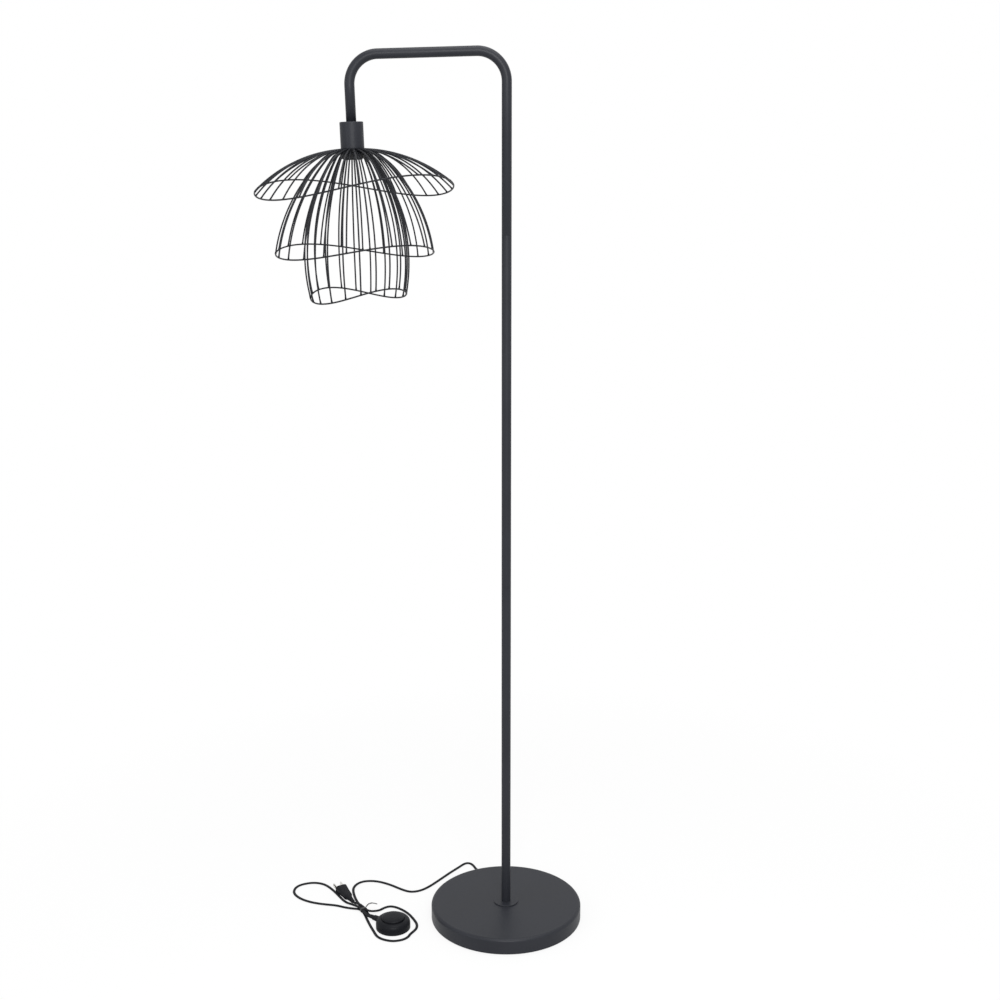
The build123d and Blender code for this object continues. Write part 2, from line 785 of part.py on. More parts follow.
with BuildPart() as switch_relief:
    relief_middle_z = relief_floor_gap + relief_height / 2
    for radius, shrink in ((relief_inner_r, 0.0), (relief_end_r, relief_taper)):
        inlet_origin = switch_plane.origin + inlet_dir * radius + Vector(0, 0, relief_middle_z)
        with BuildSketch(Plane(origin=inlet_origin, x_dir=inlet_side, z_dir=inlet_dir)):
            RectangleRounded(relief_width - shrink, relief_height - shrink, relief_corner_r)
    loft()
save(switch_relief, "switch_relief")

# Plug: a flat body that tapers to a moulded relief, with two flat blades
plug_dir = Vector(cos(radians(plug_azimuth)), sin(radians(plug_azimuth)), 0)
plug_side = plug_dir.cross(Vector(0, 0, 1))
plug_axis_z = plug_tail_thickness / 2


def plug_section(distance, height):
    """A plane square to the plug's axis, at a distance from the cord's end."""
    origin = Vector(plug_x, plug_y, height) + plug_dir * distance
    return Plane(origin=origin, x_dir=plug_side, z_dir=plug_dir)


face_distance = plug_relief_length + plug_body_length
blade_z = plug_thickness / 2
with BuildPart() as plug_body:
    with BuildSketch(plug_section(plug_relief_length, plug_axis_z)):
        RectangleRounded(plug_tail_width, plug_tail_thickness, plug_corner_r)
    with BuildSketch(plug_section(face_distance, blade_z)):
        RectangleRounded(plug_face_width, plug_thickness, plug_corner_r)
    loft()
    with BuildSketch(plug_section(plug_relief_length, plug_axis_z)):
        Circle(plug_tail_thickness / 2)
    with BuildSketch(plug_section(0, plug_axis_z)):
        Circle(plug_relief_end_d / 2)
    loft()
    with BuildSketch(plug_section(face_distance - blade_root, blade_z)):
        with Locations((blade_spacing / 2, 0), (-blade_spacing / 2, 0)):
            Rectangle(blade_thickness, blade_width)
    extrude(amount=blade_root, mode=Mode.SUBTRACT)
save(plug_body, "plug_body")

with BuildPart() as plug_blades:
    with BuildSketch(plug_section(face_distance - blade_root, blade_z)):
        with Locations((blade_spacing / 2, 0), (-blade_spacing / 2, 0)):
            Rectangle(blade_thickness, blade_width)
    extrude(amount=blade_root + blade_length)
    tips = plug_blades.faces().sort_by(Axis((plug_x, plug_y, 0), plug_dir))[-2:]
    chamfer(tips.edges().filter_by(Axis((0, 0, 0), plug_side)), length=blade_chamfer)
    hole_plane = Plane(
        origin=Vector(plug_x, plug_y, blade_z) + plug_dir * (face_distance + blade_hole_share * blade_length),
        x_dir=plug_dir,
        z_dir=plug_side,
    )
    with BuildSketch(hole_plane.offset(-blade_spacing)):
        Circle(blade_hole_d / 2)
    extrude(amount=2 * blade_spacing, mode=Mode.SUBTRACT)
save(plug_blades, "plug_blades")

# Cord tie: a paper-and-wire strip closed round four strands of the flex, with one loose end
tie_dir = Vector(cos(radians(tie_heading)), sin(radians(tie_heading)), 0)
tie_side = Vector(0, 0, 1).cross(tie_dir)
tie_middle = Vector(tie_x, tie_y, 0)
strand_low_z = tie_strip + cord_floor_gap + cord_d / 2
strand_high_z = strand_low_z + strand_pitch
tie_inner = strand_pitch + cord_d + 2 * cord_floor_gap
tie_middle_z = (strand_low_z + strand_high_z) / 2
tie_tail_points = [(-236.2, 12.6, 9.0), (-229.5, 18.6, 12.0), (-218.5, 22.2, 8.0)]
with BuildPart() as cord_tie:
    ring_plane = Plane(origin=tie_middle + Vector(0, 0, tie_middle_z), x_dir=tie_side, z_dir=tie_dir)
    with BuildSketch(ring_plane.offset(-tie_length / 2)):
        RectangleRounded(tie_inner + 2 * tie_strip, tie_inner + 2 * tie_strip, cord_d / 2 + tie_strip)
        RectangleRounded(tie_inner, tie_inner, cord_d / 2, mode=Mode.SUBTRACT)
    extrude(amount=tie_length)
    with BuildLine() as tail:
        ThreePointArc(*tie_tail_points)
    with BuildSketch(Plane(origin=tail.edge() @ 0, x_dir=tie_dir, z_dir=tail.edge() % 0)):
        Rectangle(tie_tail_width, tie_strip)
    sweep(path=tail.edge())
save(cord_tie, "cord_tie")


def strand(side, along, height):
    """A strand's place in the tie: side -1 or 1 across it, along its heading."""
    place = tie_middle + tie_side * (side * strand_pitch / 2) + tie_dir * along
    return (place.X, place.Y, height)


def inlet(side, outward, height):
    """A strand's place before the switch's relief: side -1 or 1 across it."""
    off_middle = inlet_side * (side * strand_pitch / 2)
    place = switch_plane.origin + inlet_dir * (relief_end_r + outward) - off_middle
    return (place.X, place.Y, height)


inlet_z = relief_floor_gap + relief_height / 2
bush_face = outlet_point(bush_face_r, cable_exit_z)
lamp_points = [
    (bush_face.X, bush_face.Y, cable_exit_z),
    (-45.5, 140.0, 5.5),
    (-53.5, 159.0, cord_z),
    (-58.0, 171.0, cord_z),
    (-63.0, 178.5, cord_z),
    (-70.0, 180.5, cord_z),
    (-76.5, 175.0, cord_z),
    (-84.0, 163.0, cord_z),
    (-96.0, 145.0, cord_z),
    (-115.0, 117.0, cord_z),
    (-133.0, 91.0, cord_z),
    (-148.0, 76.0, cord_z),
    (-165.0, 71.0, cord_z),
    (-181.0, 80.0, cord_z),
    (-203.0, 98.0, cord_z),
    (-226.0, 110.0, cord_z),
    (-246.0, 111.0, cord_z),
    (-259.0, 103.5, cord_z),
    (-266.0, 88.0, cord_z),
    (-264.5, 69.0, cord_z),
    (-255.5, 42.0, cord_z),
    strand(1, -8, strand_low_z),
    strand(1, 8, strand_low_z),
    inlet(1, 13, 4.2),
    inlet(1, 6, inlet_z),
    inlet(1, 0, inlet_z),
]
plug_points = [
    inlet(-1, 0, inlet_z),
    inlet(-1, 5, inlet_z),
    inlet(-1, 13, 8.1),
    strand(-1, 8, strand_high_z),
    strand(-1, -8, strand_high_z),
    (-262.0, 27.0, 5.6),
    (-275.0, 40.0, cord_z),
    (-290.0, 61.5, cord_z),
    (-300.0, 77.5, cord_z),
    (-311.0, 92.0, cord_z),
    (-320.0, 99.5, cord_z),
    (-330.0, 103.5, cord_z),
    (-341.0, 104.0, cord_z),
    (-351.0, 101.0, cord_z),
    (-360.0, 96.0, cord_z),
    (-366.0, 88.0, cord_z),
    (-368.0, 78.0, cord_z),
    (-367.0, 68.0, cord_z),
    (-361.0, 57.0, cord_z),
    (-350.0, 46.0, cord_z),
    (-334.0, 36.5, cord_z),
    (-317.0, 31.0, cord_z),
    (-302.0, 28.0, cord_z),
    (-288.0, 25.5, cord_z),
    (-274.0, 22.5, cord_z),
    (-260.0, 18.5, cord_z),
    strand(-1, -8, strand_low_z),
    strand(-1, 8, strand_low_z),
    (-230.0, -24.8, cord_z),
    (-219.0, -53.0, cord_z),
    (-209.5, -76.0, cord_z),
    (-187.0, -86.5, cord_z),
    (-170.0, -82.5, cord_z),
    (-160.5, -74.0, cord_z),
    (-157.5, -64.0, cord_z),
    (-152.5, -55.5, cord_z),
    (-147.5, -45.0, cord_z),
    (-148.0, -31.0, cord_z),
    (-156.0, -15.0, cord_z),
    (-165.0, 1.0, cord_z),
    (-176.0, 13.0, cord_z),
    (-187.0, 21.5, cord_z),
    (-197.0, 24.5, cord_z),
    (-206.0, 20.0, cord_z),
    (-213.0, 11.5, cord_z),
    (-219.5, 5.5, 4.0),
    (-226.0, 1.5, 6.6),
    (-232.2, 1.0, 9.0),
    strand(1, 3, strand_high_z),
    strand(1, -8, strand_high_z),
    (-250.0, 25.5, 7.8),
    (-258.2, 31.2, plug_axis_z),
    (plug_x, plug_y, plug_axis_z),
]


def flex(points, name):
    """One free stretch of the flex, as a round tube of the flat cord's width, with its facts printed."""
    radii = corner_radii(points)
    path = tube_path(points, radii).wire()
    with BuildPart() as cord:
        with BuildSketch(Plane(origin=path @ 0, z_dir=path % 0)):
            RegularPolygon(cord_d / 2, cord_sides)
        sweep(path=path)
    save(cord, name)
    section_area = cord_sides / 2 * (cord_d / 2) ** 2 * sin(2 * pi / cord_sides)
    whole = cord.part.volume / (section_area * path.length)
    print(name, "length", round(path.length), "volume share", round(whole, 4))
    print(name, "corner radii", [round(r, 1) for r in radii])
    return path


def samples(path):
    """Points along a path, about a sample step apart."""
    count = int(path.length / sample_step)
    return [path @ (i / count) for i in range(count + 1)]


lamp_line = samples(flex(lamp_points, "lamp_cord"))
plug_line = samples(flex(plug_points, "plug_cord"))
self_gaps = [
    (p - q).length
    for line in (lamp_line, plug_line)
    for i, p in enumerate(line)
    for q in line[i + near_samples :]
]
cross_gaps = [(p - q).length for p in lamp_line for q in plug_line]
print("least gap of a cord to itself", round(min(self_gaps) - cord_d, 2))
print("least gap between the cords", round(min(cross_gaps) - cord_d, 2))
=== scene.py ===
import bpy
import numpy as np
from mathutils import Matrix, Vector


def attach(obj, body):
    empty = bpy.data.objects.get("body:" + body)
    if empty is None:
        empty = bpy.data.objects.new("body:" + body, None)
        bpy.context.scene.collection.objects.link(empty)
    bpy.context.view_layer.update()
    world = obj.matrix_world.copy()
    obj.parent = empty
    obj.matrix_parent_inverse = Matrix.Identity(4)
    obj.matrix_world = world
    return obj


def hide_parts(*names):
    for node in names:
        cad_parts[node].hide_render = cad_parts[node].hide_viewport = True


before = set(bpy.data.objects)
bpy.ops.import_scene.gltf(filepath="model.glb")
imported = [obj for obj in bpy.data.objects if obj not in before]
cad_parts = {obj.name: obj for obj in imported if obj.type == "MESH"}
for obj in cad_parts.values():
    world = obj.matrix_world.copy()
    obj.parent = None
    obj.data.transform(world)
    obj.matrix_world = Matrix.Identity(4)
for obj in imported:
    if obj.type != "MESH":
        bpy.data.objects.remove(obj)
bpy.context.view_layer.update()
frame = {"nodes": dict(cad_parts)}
nodes = frame["nodes"]

# Sizes in metres, apart from those noted as millimetres, with the origin in the middle of the base's
# underside and +Z up
MM = 0.001

# Base
BASE_R = 125.0 * MM
BASE_TOP = 26.5 * MM
BASE_EDGE_R = 5.0 * MM
BASE_WALL = 1.5 * MM
BASE_FOOT = 1.0 * MM
BASE_SIDES = 256
COLLAR_R = 20.5 * MM
COLLAR_HEIGHT = 1.5 * MM

# Pole and arm
POLE_R = 7.5 * MM
POLE_BORE_R = 6.3 * MM
TUBE_EDGE = 0.25 * MM
TUBE_SIDES = 64
LOWER_JOINT = 575.0 * MM
UPPER_JOINT = 1125.0 * MM
JOINT_RING = 5.0 * MM
LAMP_HEIGHT = 1400.0 * MM
ARM_REACH = 231.0 * MM
ARM_BEND_R = 43.0 * MM
ARM_DROOP = np.radians(1.6)
STUB = 52.0 * MM

# Cup, lampholder and ring nut
THREAD_HOLE_R = 5.05 * MM
CUP_R = 17.5 * MM
CUP_HEIGHT = 38.0 * MM
CUP_WALL = 1.5 * MM
CUP_SIDES = 96
HUB_THICKNESS = 2.8 * MM

# Shade: each tier's layer under the cup, rim radius and drop, wave and lean of the rim, how far it hangs
# to the arm's side, number of ribs, azimuth of the first rib, and the bend at the ribs' roots, in
# millimetres and degrees
# The wires are drawn a fifth thicker than the solids' 2 mm, because the render thins so fine a line
WIRE_R = 1.2 * MM
RIB_FOOT = 1.0 * MM
RIB_TUCK = 0.5 * MM
RIB_SIDES = 10
ROOT_SAMPLES = 12
RIB_SAMPLES = 40
RIM_SIDES = 12
RIM_SAMPLES = 240
WELD_LENGTH = 1.6 * MM
WELD_SWELL = 0.35
TIERS = {
    "top": dict(
        layer=0, rim_r=147.8, drop=57.0, wave=14.8, lean=2.8, lean_to=-95.0, swing=0.0,
        ribs=31, first=0.0, bend=4.0, root_r=40.0,
    ),
    "middle": dict(
        layer=1, rim_r=118.5, drop=151.0, wave=10.0, lean=5.4, lean_to=-121.0, swing=-4.0,
        ribs=22, first=8.0, bend=43.0, root_r=40.0,
    ),
    "inner": dict(
        layer=2, rim_r=72.3, drop=215.5, wave=9.4, lean=2.4, lean_to=-80.0, swing=-2.0,
        ribs=20, first=8.5, bend=55.0, root_r=15.0,
    ),
}

# Flex: flat twin cord
FLEX_WIDTH = 4.6 * MM
FLEX_THICKNESS = 2.8 * MM
OUTLET_AZIMUTH = np.radians(108.0)
OUTLET_R = 127.0 * MM
OUTLET_Z = 7.0 * MM

# Foot switch
SWITCH_PLACE = np.array([-187.0, -40.0, 0.0]) * MM
SWITCH_R = 28.5 * MM
SWITCH_BORE_R = 26.5 * MM
SWITCH_INLET = np.radians(145.0)
SWITCH_SPLIT = 8.0 * MM
SWITCH_TOP = 17.0 * MM
SEAM_BAND = 1.0 * MM
LIP_THICKNESS = 2.0 * MM
BUTTON_GAP = 0.4 * MM
CEILING_DROP = 5.3 * MM
BUTTON_R = 19.0 * MM
BUTTON_EDGE = 18.5 * MM
BUTTON_CROWN = 3.0 * MM
BUTTON_WALL = 2.0 * MM
BUTTON_EASE = 0.25 * MM
CROWN_POWER = 2.6
FLANGE_R = 20.9 * MM
FLANGE_LOW = 13.2 * MM
FLANGE_TOP = 14.7 * MM
BRIDGE_TOP = 9.6 * MM
SPIGOT_END = 7.6 * MM
STEM_R = 6.0 * MM
SPIGOT_R = 3.0 * MM
RELIEF_START = 24.5 * MM
RELIEF_END = 41.5 * MM
RELIEF_Z = 5.0 * MM
RELIEF_WIDTH = 12.0 * MM
RELIEF_HEIGHT = 8.0 * MM
RELIEF_TAPER = 1.5 * MM
RELIEF_EDGE = 0.8 * MM
RELIEF_POWER = 3.2

# Plug
PLUG_PLACE = np.array([-261.0, 36.0, 0.0]) * MM
PLUG_AZIMUTH = np.radians(120.0)
PLUG_RELIEF = 18.0 * MM
PLUG_BODY = 33.0 * MM
PLUG_EDGE = 1.5 * MM

# Tie round four strands of the flex
TIE_PLACE = np.array([-240.7, 9.7, 0.0]) * MM
TIE_HEADING = np.radians(-58.0)
TIE_CLEARANCE = 0.4 * MM
TIE_CORNER_R = 1.6 * MM
TIE_WIDTH = 4.4 * MM
TIE_THICKNESS = 0.25 * MM
TIE_WIRE = 0.45 * MM
TAIL_WIDTH = 2.4 * MM
TAIL_THICKNESS = 0.5 * MM
TAIL_SAMPLES = 60
TAIL_HALF_TURNS = 5
STRAND_PITCH = 5.2 * MM
STRAND_LOW = 2.7 * MM
STRAND_HIGH = 6.0 * MM

# Camera, fitted to the photograph
CAMERA_PLACE = (-10.0 * MM, -2182.0 * MM, 1237.1 * MM)
CAMERA_PITCH = np.radians(13.368)
CAMERA_LENS = 51.48
SENSOR_WIDTH = 36.0

# Studio floor and its fade into the white surround
FLOOR_SIZE = 12.0
FLOOR_LEVEL = -0.3 * MM
FADE_START = 0.5
FADE_END = 1.1
FADE_LOW = 0.82
SOFT_LIGHT = 0.55
SURROUND_LIGHT = 1.0


def add_mesh(name, verts, faces):
    """Put arrays of points and faces into a new smooth piece whose object stays at the origin."""
    mesh = bpy.data.meshes.new(name)
    mesh.from_pydata(verts.reshape(-1, 3).tolist(), [], faces)
    mesh.update()
    mesh.polygons.foreach_set("use_smooth", np.ones(len(mesh.polygons), bool))
    piece = bpy.data.objects.new(name, mesh)
    bpy.context.scene.collection.objects.link(piece)
    return piece


def grid_faces(rows, columns, close_rows=False):
    """Quads between neighbouring rows of a grid whose columns run in a closed round."""
    i, j = np.meshgrid(np.arange(rows if close_rows else rows - 1), np.arange(columns), indexing="ij")
    after_i = (i + 1) % rows
    after_j = (j + 1) % columns
    corners = [i * columns + j, after_i * columns + j, after_i * columns + after_j, i * columns + after_j]
    return np.stack(corners, axis=-1).reshape(-1, 4)


def unit(vectors):
    """Vectors divided by their own lengths."""
    return vectors / np.linalg.norm(vectors, axis=-1, keepdims=True)


def rounded(outline, radius, steps=6, closed=True):
    """A closed outline with an arc at each corner. The arc starts and ends at the radius over the tangent of
    half the corner's angle, or a third of the shorter side, and turns evenly about its centre. One more
    point on each side keeps the flat beside it flat. An open outline keeps its first and last points."""
    whole = np.asarray(outline, float)
    back = np.roll(whole, 1, axis=0) - whole
    ahead = np.roll(whole, -1, axis=0) - whole
    points = whole
    if not closed:
        back, ahead, points = back[1:-1], ahead[1:-1], whole[1:-1]
    shorter = np.minimum(np.linalg.norm(back, axis=1), np.linalg.norm(ahead, axis=1))
    u, v = unit(back), unit(ahead)
    half = np.arccos(np.clip((u * v).sum(axis=1), -1, 1)) / 2
    reach = np.minimum(radius / np.tan(half), shorter / 3)
    centre = points + unit(u + v) * (reach / np.cos(half))[:, None]
    first = (points + u * reach[:, None] - centre)[:, None]
    last = (points + v * reach[:, None] - centre)[:, None]
    share = np.linspace(0, 1, steps)[None, :, None]
    spread = (np.pi - 2 * half)[:, None, None]
    arc = (np.sin((1 - share) * spread) * first + np.sin(share * spread) * last) / np.sin(spread)
    lead = (points + u * (reach * 1.2)[:, None])[:, None]
    tail = (points + v * (reach * 1.2)[:, None])[:, None]
    bent = np.concatenate([lead, arc + centre[:, None], tail], axis=1).reshape(-1, 2)
    return bent if closed else np.concatenate([whole[:1], bent, whole[-1:]])


def anticlockwise(outline):
    """The outline in the order in which it runs anticlockwise in (radius, height)."""
    r, z = outline[:, 0], outline[:, 1]
    area = np.sum(r * np.roll(z, -1) - z * np.roll(r, -1))
    return outline if area > 0 else outline[::-1]


def spun(outline, place, axis, across, around):
    """Points of an outline turned round an axis: the place, plus each height along the axis, plus each
    radius in the direction that turns from across round the axis."""
    turn = np.linspace(0, 2 * np.pi, around, endpoint=False)
    out = np.cos(turn)[:, None] * across + np.sin(turn)[:, None] * np.cross(axis, across)
    return place + outline[:, None, 1:2] * axis + outline[:, None, 0:1] * out[None]


UP = np.array([0.0, 0.0, 1.0])
EAST = np.array([1.0, 0.0, 0.0])
ORIGIN = np.zeros(3)


def turned_ring(name, outline, place=ORIGIN, axis=UP, across=EAST, around=128):
    """A closed outline of (radius, height), clear of the axis, turned round it."""
    outline = anticlockwise(np.asarray(outline, float))
    faces = grid_faces(len(outline), around, close_rows=True)
    return add_mesh(name, spun(outline, place, axis, across, around), faces[:, ::-1].tolist())


def turned_solid(name, outline, place, axis, across, around=128):
    """An outline of (radius, height) that starts and ends on the axis, turned round it. A fan of triangles
    closes each pole at a point on the axis."""
    outline = anticlockwise(np.asarray(outline, float))
    rings = spun(outline[1:-1], place, axis, across, around)
    poles = place + outline[[0, -1], 1][:, None] * axis
    verts = np.concatenate([rings.reshape(-1, 3), poles])
    here = np.arange(around)
    after = (here + 1) % around
    top_row = len(verts) - 2 - around
    low_fan = np.stack([here, after, np.full(around, len(verts) - 2)], axis=1)[:, ::-1]
    high_fan = np.stack([top_row + after, top_row + here, np.full(around, len(verts) - 1)], axis=1)[:, ::-1]
    faces = grid_faces(len(rings), around)[:, ::-1].tolist() + low_fan.tolist() + high_fan.tolist()
    return add_mesh(name, verts, faces)


def circle(sides):
    """A round section of radius 1."""
    turn = np.linspace(0, 2 * np.pi, sides, endpoint=False)
    return np.stack([np.cos(turn), np.sin(turn)], axis=1)


def swept(path, across, up, section, size):
    """A section carried along paths: each point is the path's, plus the size times the section's x along
    across and its y along up. Paths are arrays of (bars, samples, 3) and size is one of (bars, samples)."""
    ring = section[:, 0:1] * across[..., None, :] + section[:, 1:2] * up[..., None, :]
    return path[..., None, :] + size[..., None, None] * ring


def bars(name, path, across, up, section, size):
    """Open bars in one mesh, each with a flat cap at both ends. across is the path's direction cross up."""
    verts = swept(path, across, up, section, size)
    count, samples = path.shape[:2]
    sides = len(section)
    per_bar = samples * sides
    sheath = grid_faces(samples, sides)
    starts = np.arange(count) * per_bar
    walls = (sheath[None] + starts[:, None, None]).reshape(-1, 4).tolist()
    caps = [np.arange(sides), np.arange(per_bar - sides, per_bar)[::-1]]
    ends = [(cap + start).tolist() for start in starts for cap in caps]
    return add_mesh(name, verts, walls + ends)


def closed_bar(name, path, across, up, section, size):
    """One bar whose end joins its start."""
    verts = swept(path[None], across[None], up[None], section, np.full((1, len(path)), size))
    return add_mesh(name, verts, grid_faces(len(path), len(section), close_rows=True).tolist())


def moulded(name, place, direction, distances, widths, heights, middles, powers, sides=40):
    """A moulded body along a level direction, with a flat cap at each end. At each distance it is a
    superellipse whose middle lies at that height over the floor: half the width times the signed cosine to
    the power of 2 over the given power, and half the height times the same of the sine."""
    side = np.cross(direction, UP)
    turn = np.linspace(0, 2 * np.pi, sides, endpoint=False)
    power = 2 / powers[:, None]
    x = widths[:, None] / 2 * np.sign(np.cos(turn)) * np.abs(np.cos(turn)) ** power
    z = middles[:, None] + heights[:, None] / 2 * np.sign(np.sin(turn)) * np.abs(np.sin(turn)) ** power
    verts = place + distances[:, None, None] * direction + x[..., None] * side + z[..., None] * UP
    first = np.arange(sides)
    last = (first + (len(distances) - 1) * sides)[::-1]
    return add_mesh(name, verts, grid_faces(len(distances), sides).tolist() + [first.tolist(), last.tolist()])


# Materials

def node_material(name):
    """A new node material and its shader, node tree and Object coordinates."""
    material = bpy.data.materials.new(name)
    material.use_nodes = True
    nodes = material.node_tree.nodes
    coordinates = nodes.new("ShaderNodeTexCoord")
    return material, nodes["Principled BSDF"], coordinates.outputs["Object"]


def noise(material, vector, scale, detail):
    """The value of a noise texture at a scale per metre."""
    texture = material.node_tree.nodes.new("ShaderNodeTexNoise")
    texture.inputs["Scale"].default_value = scale
    texture.inputs["Detail"].default_value = detail
    material.node_tree.links.new(vector, texture.inputs["Vector"])
    return texture.outputs["Fac"]


def spread(material, value, low, high):
    """A value of about 0.3 to 0.7 spread over a range, or over two colours."""
    nodes, links = material.node_tree.nodes, material.node_tree.links
    if isinstance(low, tuple):
        ramp = nodes.new("ShaderNodeValToRGB")
        ramp.color_ramp.elements[0].position = 0.35
        ramp.color_ramp.elements[1].position = 0.65
        ramp.color_ramp.elements[0].color = (*low, 1.0)
        ramp.color_ramp.elements[1].color = (*high, 1.0)
        links.new(value, ramp.inputs["Fac"])
        return ramp.outputs["Color"]
    mapped = nodes.new("ShaderNodeMapRange")
    mapped.inputs["From Min"].default_value = 0.3
    mapped.inputs["From Max"].default_value = 0.7
    mapped.inputs["To Min"].default_value = low
    mapped.inputs["To Max"].default_value = high
    links.new(value, mapped.inputs["Value"])
    return mapped.outputs["Result"]


def bump(material, shader, height, depth):
    """Raise the surface by a height value of up to depth metres."""
    nodes, links = material.node_tree.nodes, material.node_tree.links
    relief = nodes.new("ShaderNodeBump")
    relief.inputs["Distance"].default_value = depth
    links.new(height, relief.inputs["Height"])
    links.new(relief.outputs["Normal"], shader.inputs["Normal"])


def coat(name, dark, light, rough, smooth_scale, grain_scale, grain_depth, metallic=0.0, specular=0.5):
    """A finish with slow changes of tone and roughness and a fine grain. Roughness runs over a range."""
    material, shader, place = node_material(name)
    links = material.node_tree.links
    shader.inputs["Metallic"].default_value = metallic
    shader.inputs["Specular IOR Level"].default_value = specular
    slow = noise(material, place, smooth_scale, detail=3.0)
    links.new(spread(material, slow, dark, light), shader.inputs["Base Color"])
    links.new(spread(material, slow, *rough), shader.inputs["Roughness"])
    bump(material, shader, noise(material, place, grain_scale, detail=1.0), grain_depth)
    return material


powder_coat = coat("powder_coat", (0.0160, 0.0172, 0.0220), (0.0205, 0.0220, 0.0275), (0.38, 0.48),
                   smooth_scale=9.0, grain_scale=1400.0, grain_depth=0.00006, specular=0.18)
wire_coat = coat("wire_coat", (0.0095, 0.0102, 0.0128), (0.0130, 0.0139, 0.0170), (0.42, 0.52),
                 smooth_scale=25.0, grain_scale=2200.0, grain_depth=0.00003, specular=0.16)
flex_vinyl = coat("flex_vinyl", (0.0060, 0.0064, 0.0080), (0.0090, 0.0095, 0.0115), (0.44, 0.56),
                  smooth_scale=60.0, grain_scale=1800.0, grain_depth=0.00003, specular=0.10)
switch_plastic = coat("switch_plastic", (0.0070, 0.0074, 0.0094), (0.0095, 0.0100, 0.0122), (0.36, 0.46),
                      smooth_scale=50.0, grain_scale=2600.0, grain_depth=0.00002, specular=0.08)
holder_plastic = coat("holder_plastic", (0.0120, 0.0120, 0.0125), (0.0160, 0.0160, 0.0165), (0.45, 0.55),
                      smooth_scale=50.0, grain_scale=2400.0, grain_depth=0.00004)
pad_foam = coat("pad_foam", (0.010, 0.010, 0.010), (0.020, 0.020, 0.020), (0.85, 0.95),
                smooth_scale=80.0, grain_scale=900.0, grain_depth=0.0003, specular=0.2)
cast_weight = coat("cast_weight", (0.055, 0.052, 0.050), (0.095, 0.088, 0.082), (0.60, 0.80),
                   smooth_scale=30.0, grain_scale=350.0, grain_depth=0.0004, metallic=0.6)
zinc_plate = coat("zinc_plate", (0.44, 0.45, 0.46), (0.55, 0.56, 0.57), (0.22, 0.36),
                  smooth_scale=70.0, grain_scale=1200.0, grain_depth=0.00002, metallic=1.0)
nickel_plate = coat("nickel_plate", (0.66, 0.65, 0.62), (0.74, 0.73, 0.70), (0.16, 0.28),
                    smooth_scale=90.0, grain_scale=1500.0, grain_depth=0.00002, metallic=1.0)
stamped_brass = coat("stamped_brass", (0.50, 0.34, 0.12), (0.60, 0.43, 0.17), (0.22, 0.38),
                     smooth_scale=90.0, grain_scale=1500.0, grain_depth=0.00002, metallic=1.0)
glazed_ceramic = coat("glazed_ceramic", (0.72, 0.70, 0.64), (0.80, 0.78, 0.73), (0.10, 0.20),
                      smooth_scale=60.0, grain_scale=300.0, grain_depth=0.00005)
tie_strip = coat("tie_strip", (0.012, 0.012, 0.013), (0.020, 0.020, 0.021), (0.40, 0.60),
                 smooth_scale=150.0, grain_scale=1500.0, grain_depth=0.00005)


def dress(piece, material, body="lamp", replaces=()):
    """Give a new piece its material and its body, and hide what it stands for."""
    piece.data.materials.clear()
    piece.data.materials.append(material)
    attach(piece, body)
    if replaces:
        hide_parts(*replaces)


def dress_cad(material, *names):
    """Give carried-over nodes a material."""
    for name in names:
        slots = nodes[name].material_slots
        for index in range(len(slots)):
            slots[index].material = material


dress_cad(powder_coat, "lower_coupler", "upper_coupler")
dress_cad(wire_coat, "top_hub", "middle_hub", "inner_hub")
dress_cad(pad_foam, "base_pad")
dress_cad(cast_weight, "base_weight")
dress_cad(zinc_plate, "foot_nipple", "foot_nut", "foot_washer", "pole_insert", "arm_insert", "head_nipple",
          "switch_spring", "switch_screws")
dress_cad(holder_plastic, "holder_cap", "holder_sleeve", "ring_nut")
dress_cad(glazed_ceramic, "holder_core")
dress_cad(stamped_brass, "socket_shell", "centre_contact", "contact_bridge", "switch_contacts")
dress_cad(nickel_plate, "plug_blades")
dress_cad(flex_vinyl, "inner_cable", "cord_bush")
dress_cad(switch_plastic, "switch_base")

# Base: spun shell with a rounded edge, and the thin collar under the pole
shell_outline = np.array([
    [BASE_R - BASE_WALL, BASE_FOOT], [BASE_R, BASE_FOOT], [BASE_R, BASE_TOP],
    [THREAD_HOLE_R, BASE_TOP], [THREAD_HOLE_R, BASE_TOP - BASE_WALL],
    [BASE_R - BASE_WALL, BASE_TOP - BASE_WALL],
])
shell_radii = np.array([0.3, 0.3, BASE_EDGE_R / MM, 0.2, 0.2, (BASE_EDGE_R - BASE_WALL) / MM]) * MM
dress(turned_ring("shell", rounded(shell_outline, shell_radii, steps=10), around=BASE_SIDES),
      powder_coat, replaces=["base_shell"])

COLLAR_TOP = BASE_TOP + COLLAR_HEIGHT
collar_outline = np.array([
    [THREAD_HOLE_R, BASE_TOP], [COLLAR_R, BASE_TOP], [COLLAR_R, COLLAR_TOP], [THREAD_HOLE_R, COLLAR_TOP],
])
collar_radii = np.array([0.1, 0.1, 0.7, 0.1]) * MM
dress(turned_ring("collar", rounded(collar_outline, collar_radii)), powder_coat,
      replaces=["foot_collar"])


# Pole: two straight tubes with eased ends, so that the joints show as fine seams
def straight_tube(name, low, high, node):
    """A straight length of the pole's tube."""
    outline = np.array([[POLE_BORE_R, low], [POLE_R, low], [POLE_R, high], [POLE_BORE_R, high]])
    dress(turned_ring(name, rounded(outline, TUBE_EDGE), around=TUBE_SIDES), powder_coat,
          replaces=[node])


straight_tube("pole_lower", COLLAR_TOP, LOWER_JOINT - JOINT_RING / 2, "lower_tube")
straight_tube("pole_middle", LOWER_JOINT + JOINT_RING / 2, UPPER_JOINT - JOINT_RING / 2, "middle_tube")


